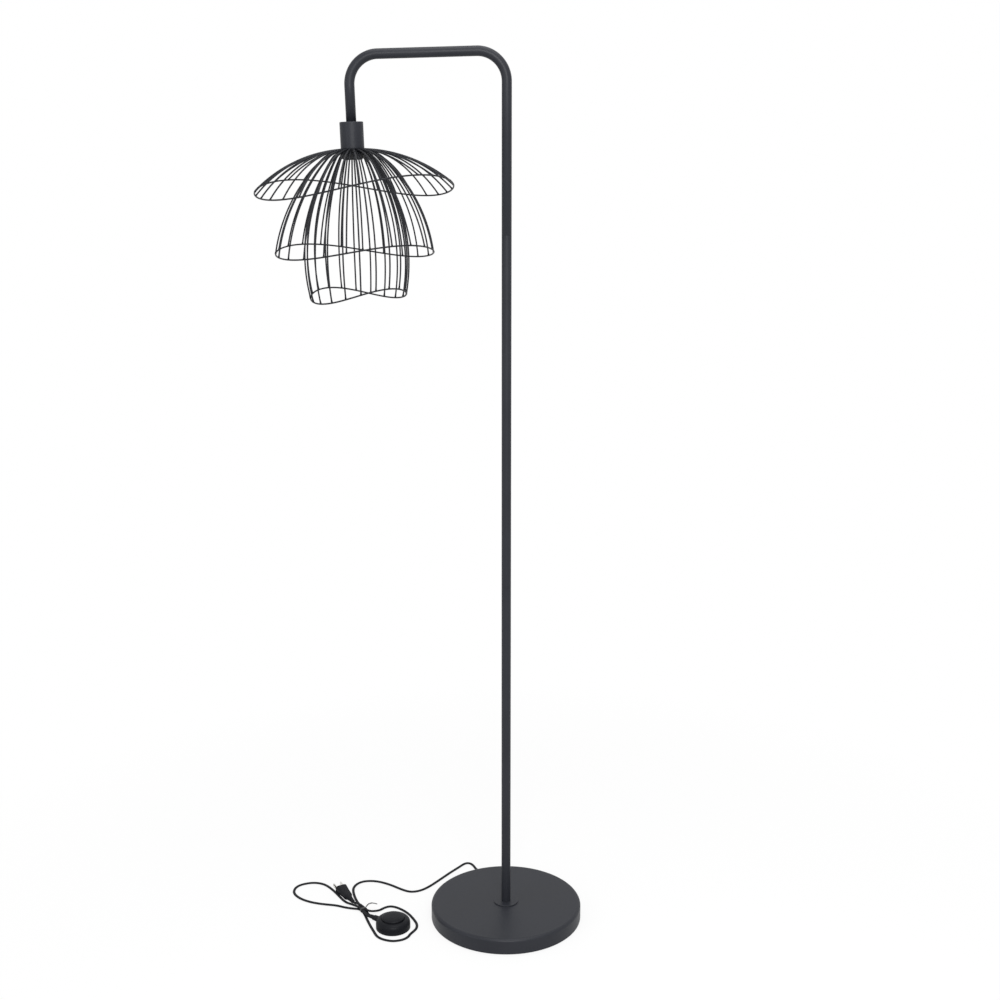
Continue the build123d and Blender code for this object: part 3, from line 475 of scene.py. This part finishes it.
def arc_from(start, heading, turn, radius, samples):
    """Points and headings of an arc in the X-Z plane that starts with a heading and turns by an angle: the
    start plus the radius times (sine now less sine at first, cosine at first less cosine now)."""
    now = heading + np.linspace(0, turn, samples)
    x = start[0] + radius * (np.sin(now) - np.sin(heading))
    z = start[2] - radius * (np.cos(now) - np.cos(heading))
    return np.stack([x, np.full(samples, start[1]), z], axis=1), now


# Arm: up out of the pole, over, along with a slight droop, and down to the cup
ARM_FOOT = UPPER_JOINT + JOINT_RING / 2
ARM_LEVEL = LAMP_HEIGHT - POLE_R - ARM_BEND_R
ARM_STRAIGHT = (ARM_REACH - ARM_BEND_R * (1 + np.cos(ARM_DROOP))) / np.cos(ARM_DROOP)
ARM_SAMPLES = 40
first_bend, first_heading = arc_from((0.0, 0.0, ARM_LEVEL), np.pi / 2, np.pi / 2 + ARM_DROOP, ARM_BEND_R,
                                     ARM_SAMPLES)
along = np.array([np.cos(first_heading[-1]), 0.0, np.sin(first_heading[-1])])
second_start = first_bend[-1] + ARM_STRAIGHT * along
second_bend, second_heading = arc_from(second_start, first_heading[-1], np.pi / 2, ARM_BEND_R, ARM_SAMPLES)
HEAD_DOWN = np.array([np.cos(second_heading[-1]), 0.0, np.sin(second_heading[-1])])
HEAD = second_bend[-1] + STUB * HEAD_DOWN
HEAD_UP = -HEAD_DOWN
HEAD_X = np.array([np.cos(ARM_DROOP), 0.0, np.sin(ARM_DROOP)])
HEAD_Y = np.cross(HEAD_UP, HEAD_X)
foot = np.array([[0.0, 0.0, ARM_FOOT], [0.0, 0.0, ARM_FOOT + TUBE_EDGE]])
arm_path = np.concatenate([foot, first_bend, second_bend, HEAD[None]])
arm_heading = np.concatenate([[np.pi / 2, np.pi / 2], first_heading, second_heading, second_heading[-1:]])
arm_across = np.tile([0.0, 1.0, 0.0], (len(arm_path), 1))
arm_up = np.stack([np.sin(arm_heading), np.zeros_like(arm_heading), -np.cos(arm_heading)], axis=1)
arm_size = np.full(len(arm_path), POLE_R)
arm_size[0] = POLE_R - TUBE_EDGE
arm = bars("arm", arm_path[None], arm_across[None], arm_up[None], circle(TUBE_SIDES), arm_size[None])
dress(arm, powder_coat, replaces=["arm_tube"])

# Cup: deep drawn, open below
cup_outline = np.array([
    [THREAD_HOLE_R, 0.0], [CUP_R, 0.0], [CUP_R, -CUP_HEIGHT], [CUP_R - CUP_WALL, -CUP_HEIGHT],
    [CUP_R - CUP_WALL, -CUP_WALL], [THREAD_HOLE_R, -CUP_WALL],
])
cup_radii = np.array([0.2, 1.3, 0.4, 0.4, 1.0, 0.2]) * MM
cup = turned_ring("cup", rounded(cup_outline, cup_radii), HEAD, HEAD_UP, HEAD_X, CUP_SIDES)
dress(cup, powder_coat, replaces=["lamp_cup"])


# Shade: three tiers of welded wire under the cup
def rim_depth(tier, turn):
    """Depth of a rim below the cup: its mean, plus a wave of two crests, less a lean to one side."""
    lean = tier["lean"] * np.cos(turn - np.radians(tier["lean_to"]))
    return (tier["drop"] + tier["wave"] * np.sin(2 * turn) - lean) * MM


def around_head(radius, depth, turn):
    """Points at a radius from the head's axis, a depth below its start, and a turn from its X."""
    out = np.cos(turn)[..., None] * HEAD_X + np.sin(turn)[..., None] * HEAD_Y
    return HEAD + radius[..., None] * out - depth[..., None] * HEAD_UP


def rib_lines(tier, turn):
    """Each rib in its own plane as (radius, depth): a short level foot, the root's arc turned down by the
    bend, and one more arc, tangent to it, whose chord ends on the rim: it turns by twice the angle
    between the tangent and the chord, on a radius of the chord over twice that angle's sine."""
    level = CUP_HEIGHT + (tier["layer"] + 0.5) * HUB_THICKNESS
    root_r, bend = tier["root_r"] * MM, np.radians(tier["bend"])
    foot_end = CUP_R + RIB_FOOT
    turned = np.linspace(0, bend, ROOT_SAMPLES)
    root = np.stack([foot_end + root_r * np.sin(turned), level + root_r * (1 - np.cos(turned))], axis=1)
    goal = np.stack([np.full(len(turn), tier["rim_r"] * MM), CUP_HEIGHT + rim_depth(tier, turn)], axis=1)
    chord = goal - root[-1]
    length = np.linalg.norm(chord, axis=1)
    alpha = np.arctan2(chord[:, 1], chord[:, 0]) - bend
    side_r = length / (2 * np.sin(alpha))
    swing = np.linspace(0, 1, RIB_SAMPLES)[None] * (2 * alpha)[:, None]
    tangent = np.array([np.cos(bend), np.sin(bend)])
    normal = np.array([-np.sin(bend), np.cos(bend)])
    side = root[-1] + side_r[:, None, None] * (
        np.sin(swing)[..., None] * tangent + (1 - np.cos(swing))[..., None] * normal
    )
    stem = np.concatenate([[[CUP_R - RIB_TUCK, level]], root])
    stem = np.tile(stem, (len(turn), 1, 1))
    headings = np.concatenate([[0.0], turned])
    headings = np.concatenate([np.tile(headings, (len(turn), 1)), bend + swing[:, 1:]], axis=1)
    return np.concatenate([stem, side[:, 1:]], axis=1), headings


def shade_tier(name, tier):
    """The ribs of one tier, swollen a little where they are welded, and its rim. The tier swings to one
    side by a share of the swing that grows evenly with depth."""
    turn = np.radians(tier["first"]) + np.arange(tier["ribs"]) * 2 * np.pi / tier["ribs"]
    flat, heading = rib_lines(tier, turn)
    turns = np.repeat(turn[:, None], flat.shape[1], axis=1)
    path = around_head(flat[..., 0], flat[..., 1], turns)
    hung = (flat[..., 1] - flat[:, :1, 1]) / (flat[:, -1:, 1] - flat[:, :1, 1])
    swing = tier["swing"] * MM * HEAD_X
    path = path + hung[..., None] * swing
    out = np.cos(turns)[..., None] * HEAD_X + np.sin(turns)[..., None] * HEAD_Y
    up = np.sin(heading)[..., None] * out + np.cos(heading)[..., None] * HEAD_UP
    ahead = np.cos(heading)[..., None] * out - np.sin(heading)[..., None] * HEAD_UP
    across = np.cross(ahead, up)
    to_rim = np.linalg.norm(path - path[:, -1:], axis=-1)
    to_hub = np.linalg.norm(path - path[:, :1], axis=-1)
    swell = np.exp(-((to_rim / WELD_LENGTH) ** 2)) + np.exp(-((to_hub / WELD_LENGTH) ** 2))
    ribs = bars(f"{name}_tier_ribs", path, across, up, circle(RIB_SIDES),
                WIRE_R * (1 + WELD_SWELL * swell))
    dress(ribs, wire_coat, replaces=[f"{name}_ribs"])
    round_turn = np.linspace(0, 2 * np.pi, RIM_SAMPLES, endpoint=False)
    depth = CUP_HEIGHT + rim_depth(tier, round_turn)
    rim = around_head(np.full(RIM_SAMPLES, tier["rim_r"] * MM), depth, round_turn) + swing
    along_rim = unit(np.roll(rim, -1, axis=0) - np.roll(rim, 1, axis=0))
    outwards = np.cos(round_turn)[:, None] * HEAD_X + np.sin(round_turn)[:, None] * HEAD_Y
    rim_up = unit(np.cross(outwards, along_rim))
    rim_across = np.cross(along_rim, rim_up)
    piece = closed_bar(f"{name}_tier_rim", rim, rim_across, rim_up, circle(RIM_SIDES), WIRE_R)
    dress(piece, wire_coat, replaces=[f"{name}_rim"])


for tier_name, tier_facts in TIERS.items():
    shade_tier(tier_name, tier_facts)


# Flex: two stretches of flat twin cord on splines through the routes' control points, in millimetres
def heading(azimuth):
    """The level direction at an azimuth, and the level direction to its left."""
    ahead = np.array([np.cos(azimuth), np.sin(azimuth), 0.0])
    return ahead, np.cross(UP, ahead)


TIE_DIR, TIE_SIDE = heading(TIE_HEADING)
INLET_DIR, INLET_SIDE = heading(SWITCH_INLET)
PLUG_DIR = heading(PLUG_AZIMUTH)[0]
OUTLET_DIR = heading(OUTLET_AZIMUTH)[0]


def strand(side, along, height):
    """A strand's place in the tie: side -1 or 1 across it, and a distance along it."""
    place = TIE_PLACE / MM + TIE_SIDE * side * STRAND_PITCH / MM / 2 + TIE_DIR * along
    return (place[0], place[1], height)


def inlet(side, outward, height):
    """A strand's place before the switch's relief: side -1 or 1 across it, and a distance out of it."""
    middle = SWITCH_PLACE / MM + INLET_DIR * (RELIEF_END / MM + outward)
    place = middle - INLET_SIDE * side * STRAND_PITCH / MM / 2
    return (place[0], place[1], height)


# Heights of control points, in millimetres
ON_FLOOR = 1.5
LOW = STRAND_LOW / MM
HIGH = STRAND_HIGH / MM
IN_RELIEF = RELIEF_Z / MM
bush_face = OUTLET_R * OUTLET_DIR / MM
LAMP_ROUTE = [
    (bush_face[0], bush_face[1], OUTLET_Z / MM),
    (-45.5, 140.0, 4.6),
    (-53.5, 159.0, ON_FLOOR),
    (-58.0, 171.0, ON_FLOOR),
    (-63.0, 178.5, ON_FLOOR),
    (-70.0, 180.5, ON_FLOOR),
    (-76.5, 175.0, ON_FLOOR),
    (-84.0, 164.0, ON_FLOOR),
    (-96.0, 148.5, ON_FLOOR),
    (-115.0, 120.5, ON_FLOOR),
    (-133.0, 94.5, ON_FLOOR),
    (-148.0, 79.5, ON_FLOOR),
    (-165.0, 74.5, ON_FLOOR),
    (-181.0, 83.5, ON_FLOOR),
    (-203.0, 101.5, ON_FLOOR),
    (-226.0, 113.5, ON_FLOOR),
    (-246.0, 114.5, ON_FLOOR),
    (-259.0, 107.0, ON_FLOOR),
    (-266.0, 91.5, ON_FLOOR),
    (-264.5, 72.5, ON_FLOOR),
    (-255.5, 42.0, ON_FLOOR),
    strand(1, -8, LOW),
    strand(1, 8, LOW),
    inlet(1, 13, 3.6),
    inlet(1, 6, IN_RELIEF),
    inlet(1, 0, IN_RELIEF),
]
PLUG_ROUTE = [
    inlet(-1, 0, IN_RELIEF),
    inlet(-1, 5, IN_RELIEF),
    inlet(-1, 13, 5.8),
    strand(-1, 8, HIGH),
    strand(-1, -8, HIGH),
    (-262.0, 27.0, 4.8),
    (-275.0, 40.0, ON_FLOOR),
    (-290.0, 65.0, ON_FLOOR),
    (-300.0, 81.0, ON_FLOOR),
    (-311.0, 95.5, ON_FLOOR),
    (-320.0, 103.0, ON_FLOOR),
    (-330.0, 107.0, ON_FLOOR),
    (-341.0, 107.5, ON_FLOOR),
    (-351.0, 104.5, ON_FLOOR),
    (-360.0, 99.5, ON_FLOOR),
    (-366.0, 91.5, ON_FLOOR),
    (-368.0, 81.5, ON_FLOOR),
    (-367.0, 71.5, ON_FLOOR),
    (-361.0, 60.5, ON_FLOOR),
    (-350.0, 49.5, ON_FLOOR),
    (-334.0, 40.0, ON_FLOOR),
    (-317.0, 34.5, ON_FLOOR),
    (-302.0, 31.5, ON_FLOOR),
    (-288.0, 29.0, ON_FLOOR),
    (-274.0, 22.5, ON_FLOOR),
    (-260.0, 18.5, ON_FLOOR),
    strand(-1, -8, LOW),
    strand(-1, 8, LOW),
    (-230.0, -24.8, ON_FLOOR),
    (-219.0, -53.0, ON_FLOOR),
    (-209.5, -76.0, ON_FLOOR),
    (-187.0, -86.5, ON_FLOOR),
    (-170.0, -82.5, ON_FLOOR),
    (-160.5, -74.0, ON_FLOOR),
    (-157.5, -64.0, ON_FLOOR),
    (-152.5, -55.5, ON_FLOOR),
    (-147.5, -45.0, ON_FLOOR),
    (-148.0, -31.0, ON_FLOOR),
    (-156.0, -13.0, ON_FLOOR),
    (-165.0, 3.0, ON_FLOOR),
    (-176.0, 15.0, ON_FLOOR),
    (-187.0, 23.5, ON_FLOOR),
    (-197.0, 26.5, ON_FLOOR),
    (-206.0, 22.0, ON_FLOOR),
    (-213.0, 13.5, ON_FLOOR),
    (-219.5, 7.5, 3.4),
    (-226.0, 1.5, 6.2),
    (-232.2, 1.0, 7.6),
    strand(1, 3, HIGH),
    strand(1, -8, HIGH),
    (-250.0, 25.5, 6.6),
    (-258.2, 31.2, 5.0),
    (-261.0, 36.0, 5.0),
]


def spline_points(name, route):
    """Points along a quadratic NURBS spline that has the route's points as its control points."""
    data = bpy.data.curves.new(name, "CURVE")
    data.dimensions = "3D"
    spline = data.splines.new("NURBS")
    spline.points.add(len(route) - 1)
    weighted = np.concatenate([np.array(route) * MM, np.ones((len(route), 1))], axis=1)
    spline.points.foreach_set("co", weighted.ravel())
    spline.order_u = 3
    spline.use_endpoint_u = True
    spline.resolution_u = 8
    guide = bpy.data.objects.new(name, data)
    line = bpy.data.meshes.new_from_object(guide)
    points = np.empty(len(line.vertices) * 3)
    line.vertices.foreach_get("co", points)
    bpy.data.meshes.remove(line)
    bpy.data.objects.remove(guide)
    bpy.data.curves.remove(data)
    return points.reshape(-1, 3)


def twin_section(lobe_offset):
    """A flat twin flex, in units of a lobe's radius: the right lobe's arc from where the lobes meet below to
    where they meet above, and the same turned by half a turn."""
    meet = np.pi - np.arccos(lobe_offset)
    arc = np.linspace(-meet, meet, 14)
    right = np.stack([lobe_offset + np.cos(arc), np.sin(arc)], axis=1)
    return np.concatenate([right, -right[1:-1]])


def flex(name, route):
    """A stretch of flex that lies flat, and the line that it follows."""
    line = spline_points(name, route)
    ahead = unit(np.gradient(line, axis=0))
    across = unit(np.cross(ahead, UP))
    up = np.cross(across, ahead)
    lobe_r = FLEX_THICKNESS / 2
    section = twin_section((FLEX_WIDTH / 2 - lobe_r) / lobe_r)
    piece = bars(f"{name}_flex", line[None], across[None], up[None], section, np.full((1, len(line)), lobe_r))
    dress(piece, flex_vinyl, replaces=[f"{name}_cord"])
    return piece, line


lamp_flex, lamp_line = flex("lamp", LAMP_ROUTE)
plug_flex, plug_line = flex("plug", PLUG_ROUTE)


# Tie: a paper strip with a wire in it, closed round four strands, with its ends twisted into a tail
def strip_section(width, thickness, wire):
    """A flat strip with a wire in it: half the thickness, plus a bell curve as high as the wire's radius."""
    x = np.linspace(-width / 2, width / 2, 15)
    y = thickness / 2 + wire / 2 * np.exp(-((x / wire) ** 2))
    return np.concatenate([np.stack([x, -y], axis=1), np.stack([x, y], axis=1)[::-1]])


half_width = (STRAND_PITCH + FLEX_WIDTH) / 2 + TIE_CLEARANCE
low = STRAND_LOW - FLEX_THICKNESS / 2 - TIE_CLEARANCE
high = STRAND_HIGH + FLEX_THICKNESS / 2 + TIE_CLEARANCE
loop = np.array([[-half_width, low], [half_width, low], [half_width, high], [-half_width, high]])
loop = rounded(loop, TIE_CORNER_R, steps=8)
loop_line = TIE_PLACE + loop[:, 0:1] * TIE_SIDE + loop[:, 1:2] * UP
loop_ahead = unit(np.roll(loop_line, -1, axis=0) - np.roll(loop_line, 1, axis=0))
loop_across = np.tile(-TIE_DIR, (len(loop_line), 1))
loop_up = np.cross(loop_across, loop_ahead)
loop_section = strip_section(TIE_WIDTH, TIE_THICKNESS, TIE_WIRE)
tie_loop = closed_bar("tie_loop", loop_line, loop_across, loop_up, loop_section, 1.0)
dress(tie_loop, tie_strip, replaces=["cord_tie"])

# The tail runs on one parabola through three points: its start, its crest and its end
tail_start = np.array([-236.2, 12.6, 8.4]) * MM
tail_crest = np.array([-229.5, 18.6, 11.4]) * MM
tail_end = np.array([-218.5, 22.2, 8.0]) * MM
share = np.linspace(0, 1, TAIL_SAMPLES)[:, None]
tail_line = (
    tail_start * (1 - share) * (1 - 2 * share) + tail_crest * 4 * share * (1 - share)
    + tail_end * share * (2 * share - 1)
)
tail_ahead = unit(np.gradient(tail_line, axis=0))
tail_side = unit(np.cross(tail_ahead, UP))
tail_top = np.cross(tail_side, tail_ahead)
twist = TAIL_HALF_TURNS * np.pi * np.minimum(share / 0.7, 1.0)
tail_up = np.cos(twist) * tail_top + np.sin(twist) * tail_side
tail_across = np.cross(tail_ahead, tail_up)
tie_tail = bars("tie_tail", tail_line[None], tail_across[None], tail_up[None],
                strip_section(TAIL_WIDTH, TAIL_THICKNESS, TIE_WIRE), np.ones((1, TAIL_SAMPLES)))
dress(tie_tail, tie_strip)

# Foot switch: cover with a round shoulder, crowned button and ribbed relief
# The shoulder is a quarter of an ellipse from the seam to the lip: half its width times the cosine and its
# height times the sine
cover_low = SWITCH_SPLIT + SEAM_BAND
shoulder_turn = np.linspace(0, np.pi / 2, 24)
shoulder = np.stack([
    FLANGE_R + (SWITCH_R - FLANGE_R) * np.cos(shoulder_turn),
    cover_low + (SWITCH_TOP - cover_low) * np.sin(shoulder_turn),
], axis=1)
seam = np.array([[SWITCH_R, SWITCH_SPLIT + 0.3 * MM], [SWITCH_R - 0.3 * MM, SWITCH_SPLIT]])
skirt = np.array([[SWITCH_BORE_R + 0.2 * MM, SWITCH_SPLIT], [SWITCH_BORE_R, SWITCH_SPLIT + 0.2 * MM]])
# The lip's points, from the button's radius and the cover's top
lip = np.array([[0.9, 0.0], [0.5, -0.1], [0.4, -0.5], [0.4, -1.8], [0.6, -2.0]]) * MM + [BUTTON_R, SWITCH_TOP]
ceiling = np.array([
    [FLANGE_R + BUTTON_GAP, SWITCH_TOP - LIP_THICKNESS], [SWITCH_BORE_R, SWITCH_TOP - CEILING_DROP],
])
cover_outline = np.concatenate([skirt[::-1], seam[::-1], shoulder, lip, ceiling])
dress(turned_ring("switch_dome", cover_outline, SWITCH_PLACE, UP, INLET_DIR),
      switch_plastic, replaces=["switch_cover"])

# The crown is a quarter of a superellipse: the radius times the cosine, and the crown's height times the
# sine, both to the power of 2 over the crown's power
button_under = BUTTON_EDGE - BUTTON_WALL
button_low = np.array([
    [0.0, SPIGOT_END], [SPIGOT_R, SPIGOT_END], [SPIGOT_R, BRIDGE_TOP], [STEM_R, BRIDGE_TOP],
    [STEM_R, button_under], [BUTTON_R - BUTTON_WALL, button_under], [BUTTON_R - BUTTON_WALL, FLANGE_LOW],
    [FLANGE_R, FLANGE_LOW], [FLANGE_R, FLANGE_TOP], [BUTTON_R, FLANGE_TOP], [BUTTON_R, BUTTON_EDGE],
])
quarter = np.linspace(0.04, np.pi / 2, 24)
crown = np.stack([
    BUTTON_R * np.abs(np.cos(quarter)) ** (2 / CROWN_POWER),
    BUTTON_EDGE + BUTTON_CROWN * np.sin(quarter) ** (2 / CROWN_POWER),
], axis=1)
crown[-1, 0] = 0.0
button_outline = np.concatenate([rounded(button_low, BUTTON_EASE, closed=False), crown])
dress(turned_solid("button_cap", button_outline, SWITCH_PLACE, UP, INLET_DIR),
      switch_plastic, body="button", replaces=["switch_button"])


def grooved(distance, low, high, count, depth):
    """Depth of a row of grooves: half the depth times one less the cosine of each groove's share."""
    share = np.clip((distance - low) / (high - low), 0, 1)
    return depth / 2 * (1 - np.cos(2 * np.pi * count * share))


def eased_end(distance, end, radius):
    """How much a moulding draws in over its last edge: the radius less the height of a quarter circle."""
    left = np.clip((radius - (end - distance)) / radius, 0, 1)
    return radius * (1 - np.sqrt(1 - left**2))


def stations(start, end, edge, first_turn, samples, edge_samples):
    """Distances along a moulding: evenly up to its last edge, then at the end less the edge's radius times
    one less the sine of a turn that grows evenly to a quarter."""
    turn = np.linspace(first_turn, np.pi / 2, edge_samples)
    return np.concatenate([np.linspace(start, end - edge, samples), end - edge * (1 - np.sin(turn))])


relief_at = stations(RELIEF_START, RELIEF_END, RELIEF_EDGE, 0.2, 70, 8)
relief_cut = grooved(relief_at, 30.5 * MM, 40.5 * MM, 4, 0.9 * MM)
relief_cut += 2 * eased_end(relief_at, RELIEF_END, RELIEF_EDGE)
relief_taper = RELIEF_TAPER * (relief_at - RELIEF_START) / (RELIEF_END - RELIEF_START)
dress(moulded("switch_strain_relief", SWITCH_PLACE, INLET_DIR, relief_at,
              RELIEF_WIDTH - relief_taper - relief_cut, RELIEF_HEIGHT - relief_taper - relief_cut,
              np.full(len(relief_at), RELIEF_Z), np.full(len(relief_at), RELIEF_POWER)),
      flex_vinyl, replaces=["switch_relief"])

# Plug: a ribbed round relief that opens into a flat body, wider and thicker towards its face
PLUG_END = PLUG_RELIEF + PLUG_BODY
plug_at = stations(0, PLUG_END, PLUG_EDGE, 0.15, 150, 10)
relief_part = np.clip(plug_at / PLUG_RELIEF, 0, 1)
neck = np.clip((plug_at - PLUG_RELIEF + 2 * MM) / (4 * MM), 0, 1)
neck = neck**2 * (3 - 2 * neck)
body_part = np.clip((plug_at - PLUG_RELIEF) / PLUG_BODY, 0, 1)
plug_cut = (
    grooved(plug_at, 2 * MM, 15.5 * MM, 5, 1.1 * MM) + grooved(plug_at, 27 * MM, 39 * MM, 4, 0.6 * MM)
    + 2 * eased_end(plug_at, PLUG_END, PLUG_EDGE)
)
plug_width = (6.4 + 3.6 * relief_part + 4.0 * neck + 7.0 * body_part**1.3) * MM - plug_cut
plug_height = (6.4 + 3.6 * relief_part + 3.0 * body_part) * MM - plug_cut
dress(moulded("plug_moulding", PLUG_PLACE, PLUG_DIR, plug_at, plug_width, plug_height,
              (5.0 + 1.5 * body_part) * MM, 2.0 + 1.8 * neck, sides=64),
      flex_vinyl, replaces=["plug_body"])


# Studio: a pale floor that runs into a white surround, plain soft lamps and the camera
def seen_ray(nodes, links):
    """1 for rays from the camera and for those that gloss or glass sends on, 0 for all that give light."""
    path = nodes.new("ShaderNodeLightPath")
    gloss = nodes.new("ShaderNodeMath")
    gloss.operation = "MAXIMUM"
    links.new(path.outputs["Is Glossy Ray"], gloss.inputs[0])
    links.new(path.outputs["Is Transmission Ray"], gloss.inputs[1])
    every = nodes.new("ShaderNodeMath")
    every.operation = "MAXIMUM"
    links.new(path.outputs["Is Camera Ray"], every.inputs[0])
    links.new(gloss.outputs["Value"], every.inputs[1])
    return every.outputs["Value"]


bpy.ops.mesh.primitive_plane_add(size=FLOOR_SIZE, location=(0.0, 0.0, FLOOR_LEVEL))
floor = bpy.context.object
floor.name = "studio_floor"
floor_paint, floor_shader, floor_place = node_material("floor_paint")
floor_nodes, floor_links = floor_paint.node_tree.nodes, floor_paint.node_tree.links
floor_shader.inputs["Base Color"].default_value = (0.80, 0.80, 0.80, 1.0)
floor_shader.inputs["Roughness"].default_value = 0.9
floor_shader.inputs["Specular IOR Level"].default_value = 0.0
away = floor_nodes.new("ShaderNodeVectorMath")
away.operation = "LENGTH"
floor_links.new(floor_place, away.inputs[0])
fade = floor_nodes.new("ShaderNodeMapRange")
fade.inputs["From Min"].default_value = FADE_START
fade.inputs["From Max"].default_value = FADE_END
fade.inputs["To Min"].default_value = FADE_LOW
fade.inputs["To Max"].default_value = 1.0
floor_links.new(away.outputs["Value"], fade.inputs["Value"])
shown = floor_nodes.new("ShaderNodeMath")
shown.operation = "MULTIPLY"
floor_links.new(seen_ray(floor_nodes, floor_links), shown.inputs[0])
floor_links.new(fade.outputs["Result"], shown.inputs[1])
white = floor_nodes.new("ShaderNodeEmission")
blend = floor_nodes.new("ShaderNodeMixShader")
floor_links.new(shown.outputs["Value"], blend.inputs["Fac"])
floor_links.new(floor_shader.outputs["BSDF"], blend.inputs[1])
floor_links.new(white.outputs["Emission"], blend.inputs[2])
floor_links.new(blend.outputs["Shader"], floor_nodes["Material Output"].inputs["Surface"])
floor.data.materials.append(floor_paint)

world = bpy.data.worlds.new("studio")
world.use_nodes = True
bpy.context.scene.world = world
world_nodes, world_links = world.node_tree.nodes, world.node_tree.links
soft_light = world_nodes["Background"]
soft_light.inputs["Color"].default_value = (1.0, 1.0, 1.0, 1.0)
soft_light.inputs["Strength"].default_value = SOFT_LIGHT
surround = world_nodes.new("ShaderNodeBackground")
surround.inputs["Color"].default_value = (1.0, 1.0, 1.0, 1.0)
surround.inputs["Strength"].default_value = SURROUND_LIGHT
either = world_nodes.new("ShaderNodeMixShader")
world_links.new(seen_ray(world_nodes, world_links), either.inputs["Fac"])
world_links.new(soft_light.outputs["Background"], either.inputs[1])
world_links.new(surround.outputs["Background"], either.inputs[2])
world_links.new(either.outputs["Shader"], world_nodes["World Output"].inputs["Surface"])


def soft_box(name, place, target, width, height, power):
    """An area lamp at a place that faces a target."""
    data = bpy.data.lights.new(name, "AREA")
    data.shape = "RECTANGLE"
    data.size, data.size_y = width, height
    data.energy = power
    lamp = bpy.data.objects.new(name, data)
    bpy.context.scene.collection.objects.link(lamp)
    lamp.location = place
    lamp.rotation_euler = (Vector(target) - Vector(place)).to_track_quat("-Z", "Y").to_euler()


soft_box("lamp_above", (0.3, -0.3, 3.4), (0.0, 0.0, 0.4), 2.4, 2.4, 55.0)
soft_box("lamp_front", (0.3, -3.3, 2.1), (-0.1, 0.0, 1.0), 1.5, 1.1, 85.0)
soft_box("lamp_left", (-2.2, -2.2, 1.8), (-0.2, 0.0, 1.0), 1.0, 1.6, 12.0)

view = bpy.data.cameras.new("camera")
view.lens = CAMERA_LENS
view.sensor_width = SENSOR_WIDTH
camera = bpy.data.objects.new("camera", view)
bpy.context.scene.collection.objects.link(camera)
camera.location = CAMERA_PLACE
camera.rotation_euler = (np.pi / 2 - CAMERA_PITCH, 0.0, 0.0)
bpy.context.scene.camera = camera
bpy.context.scene.view_settings.view_transform = "Standard"
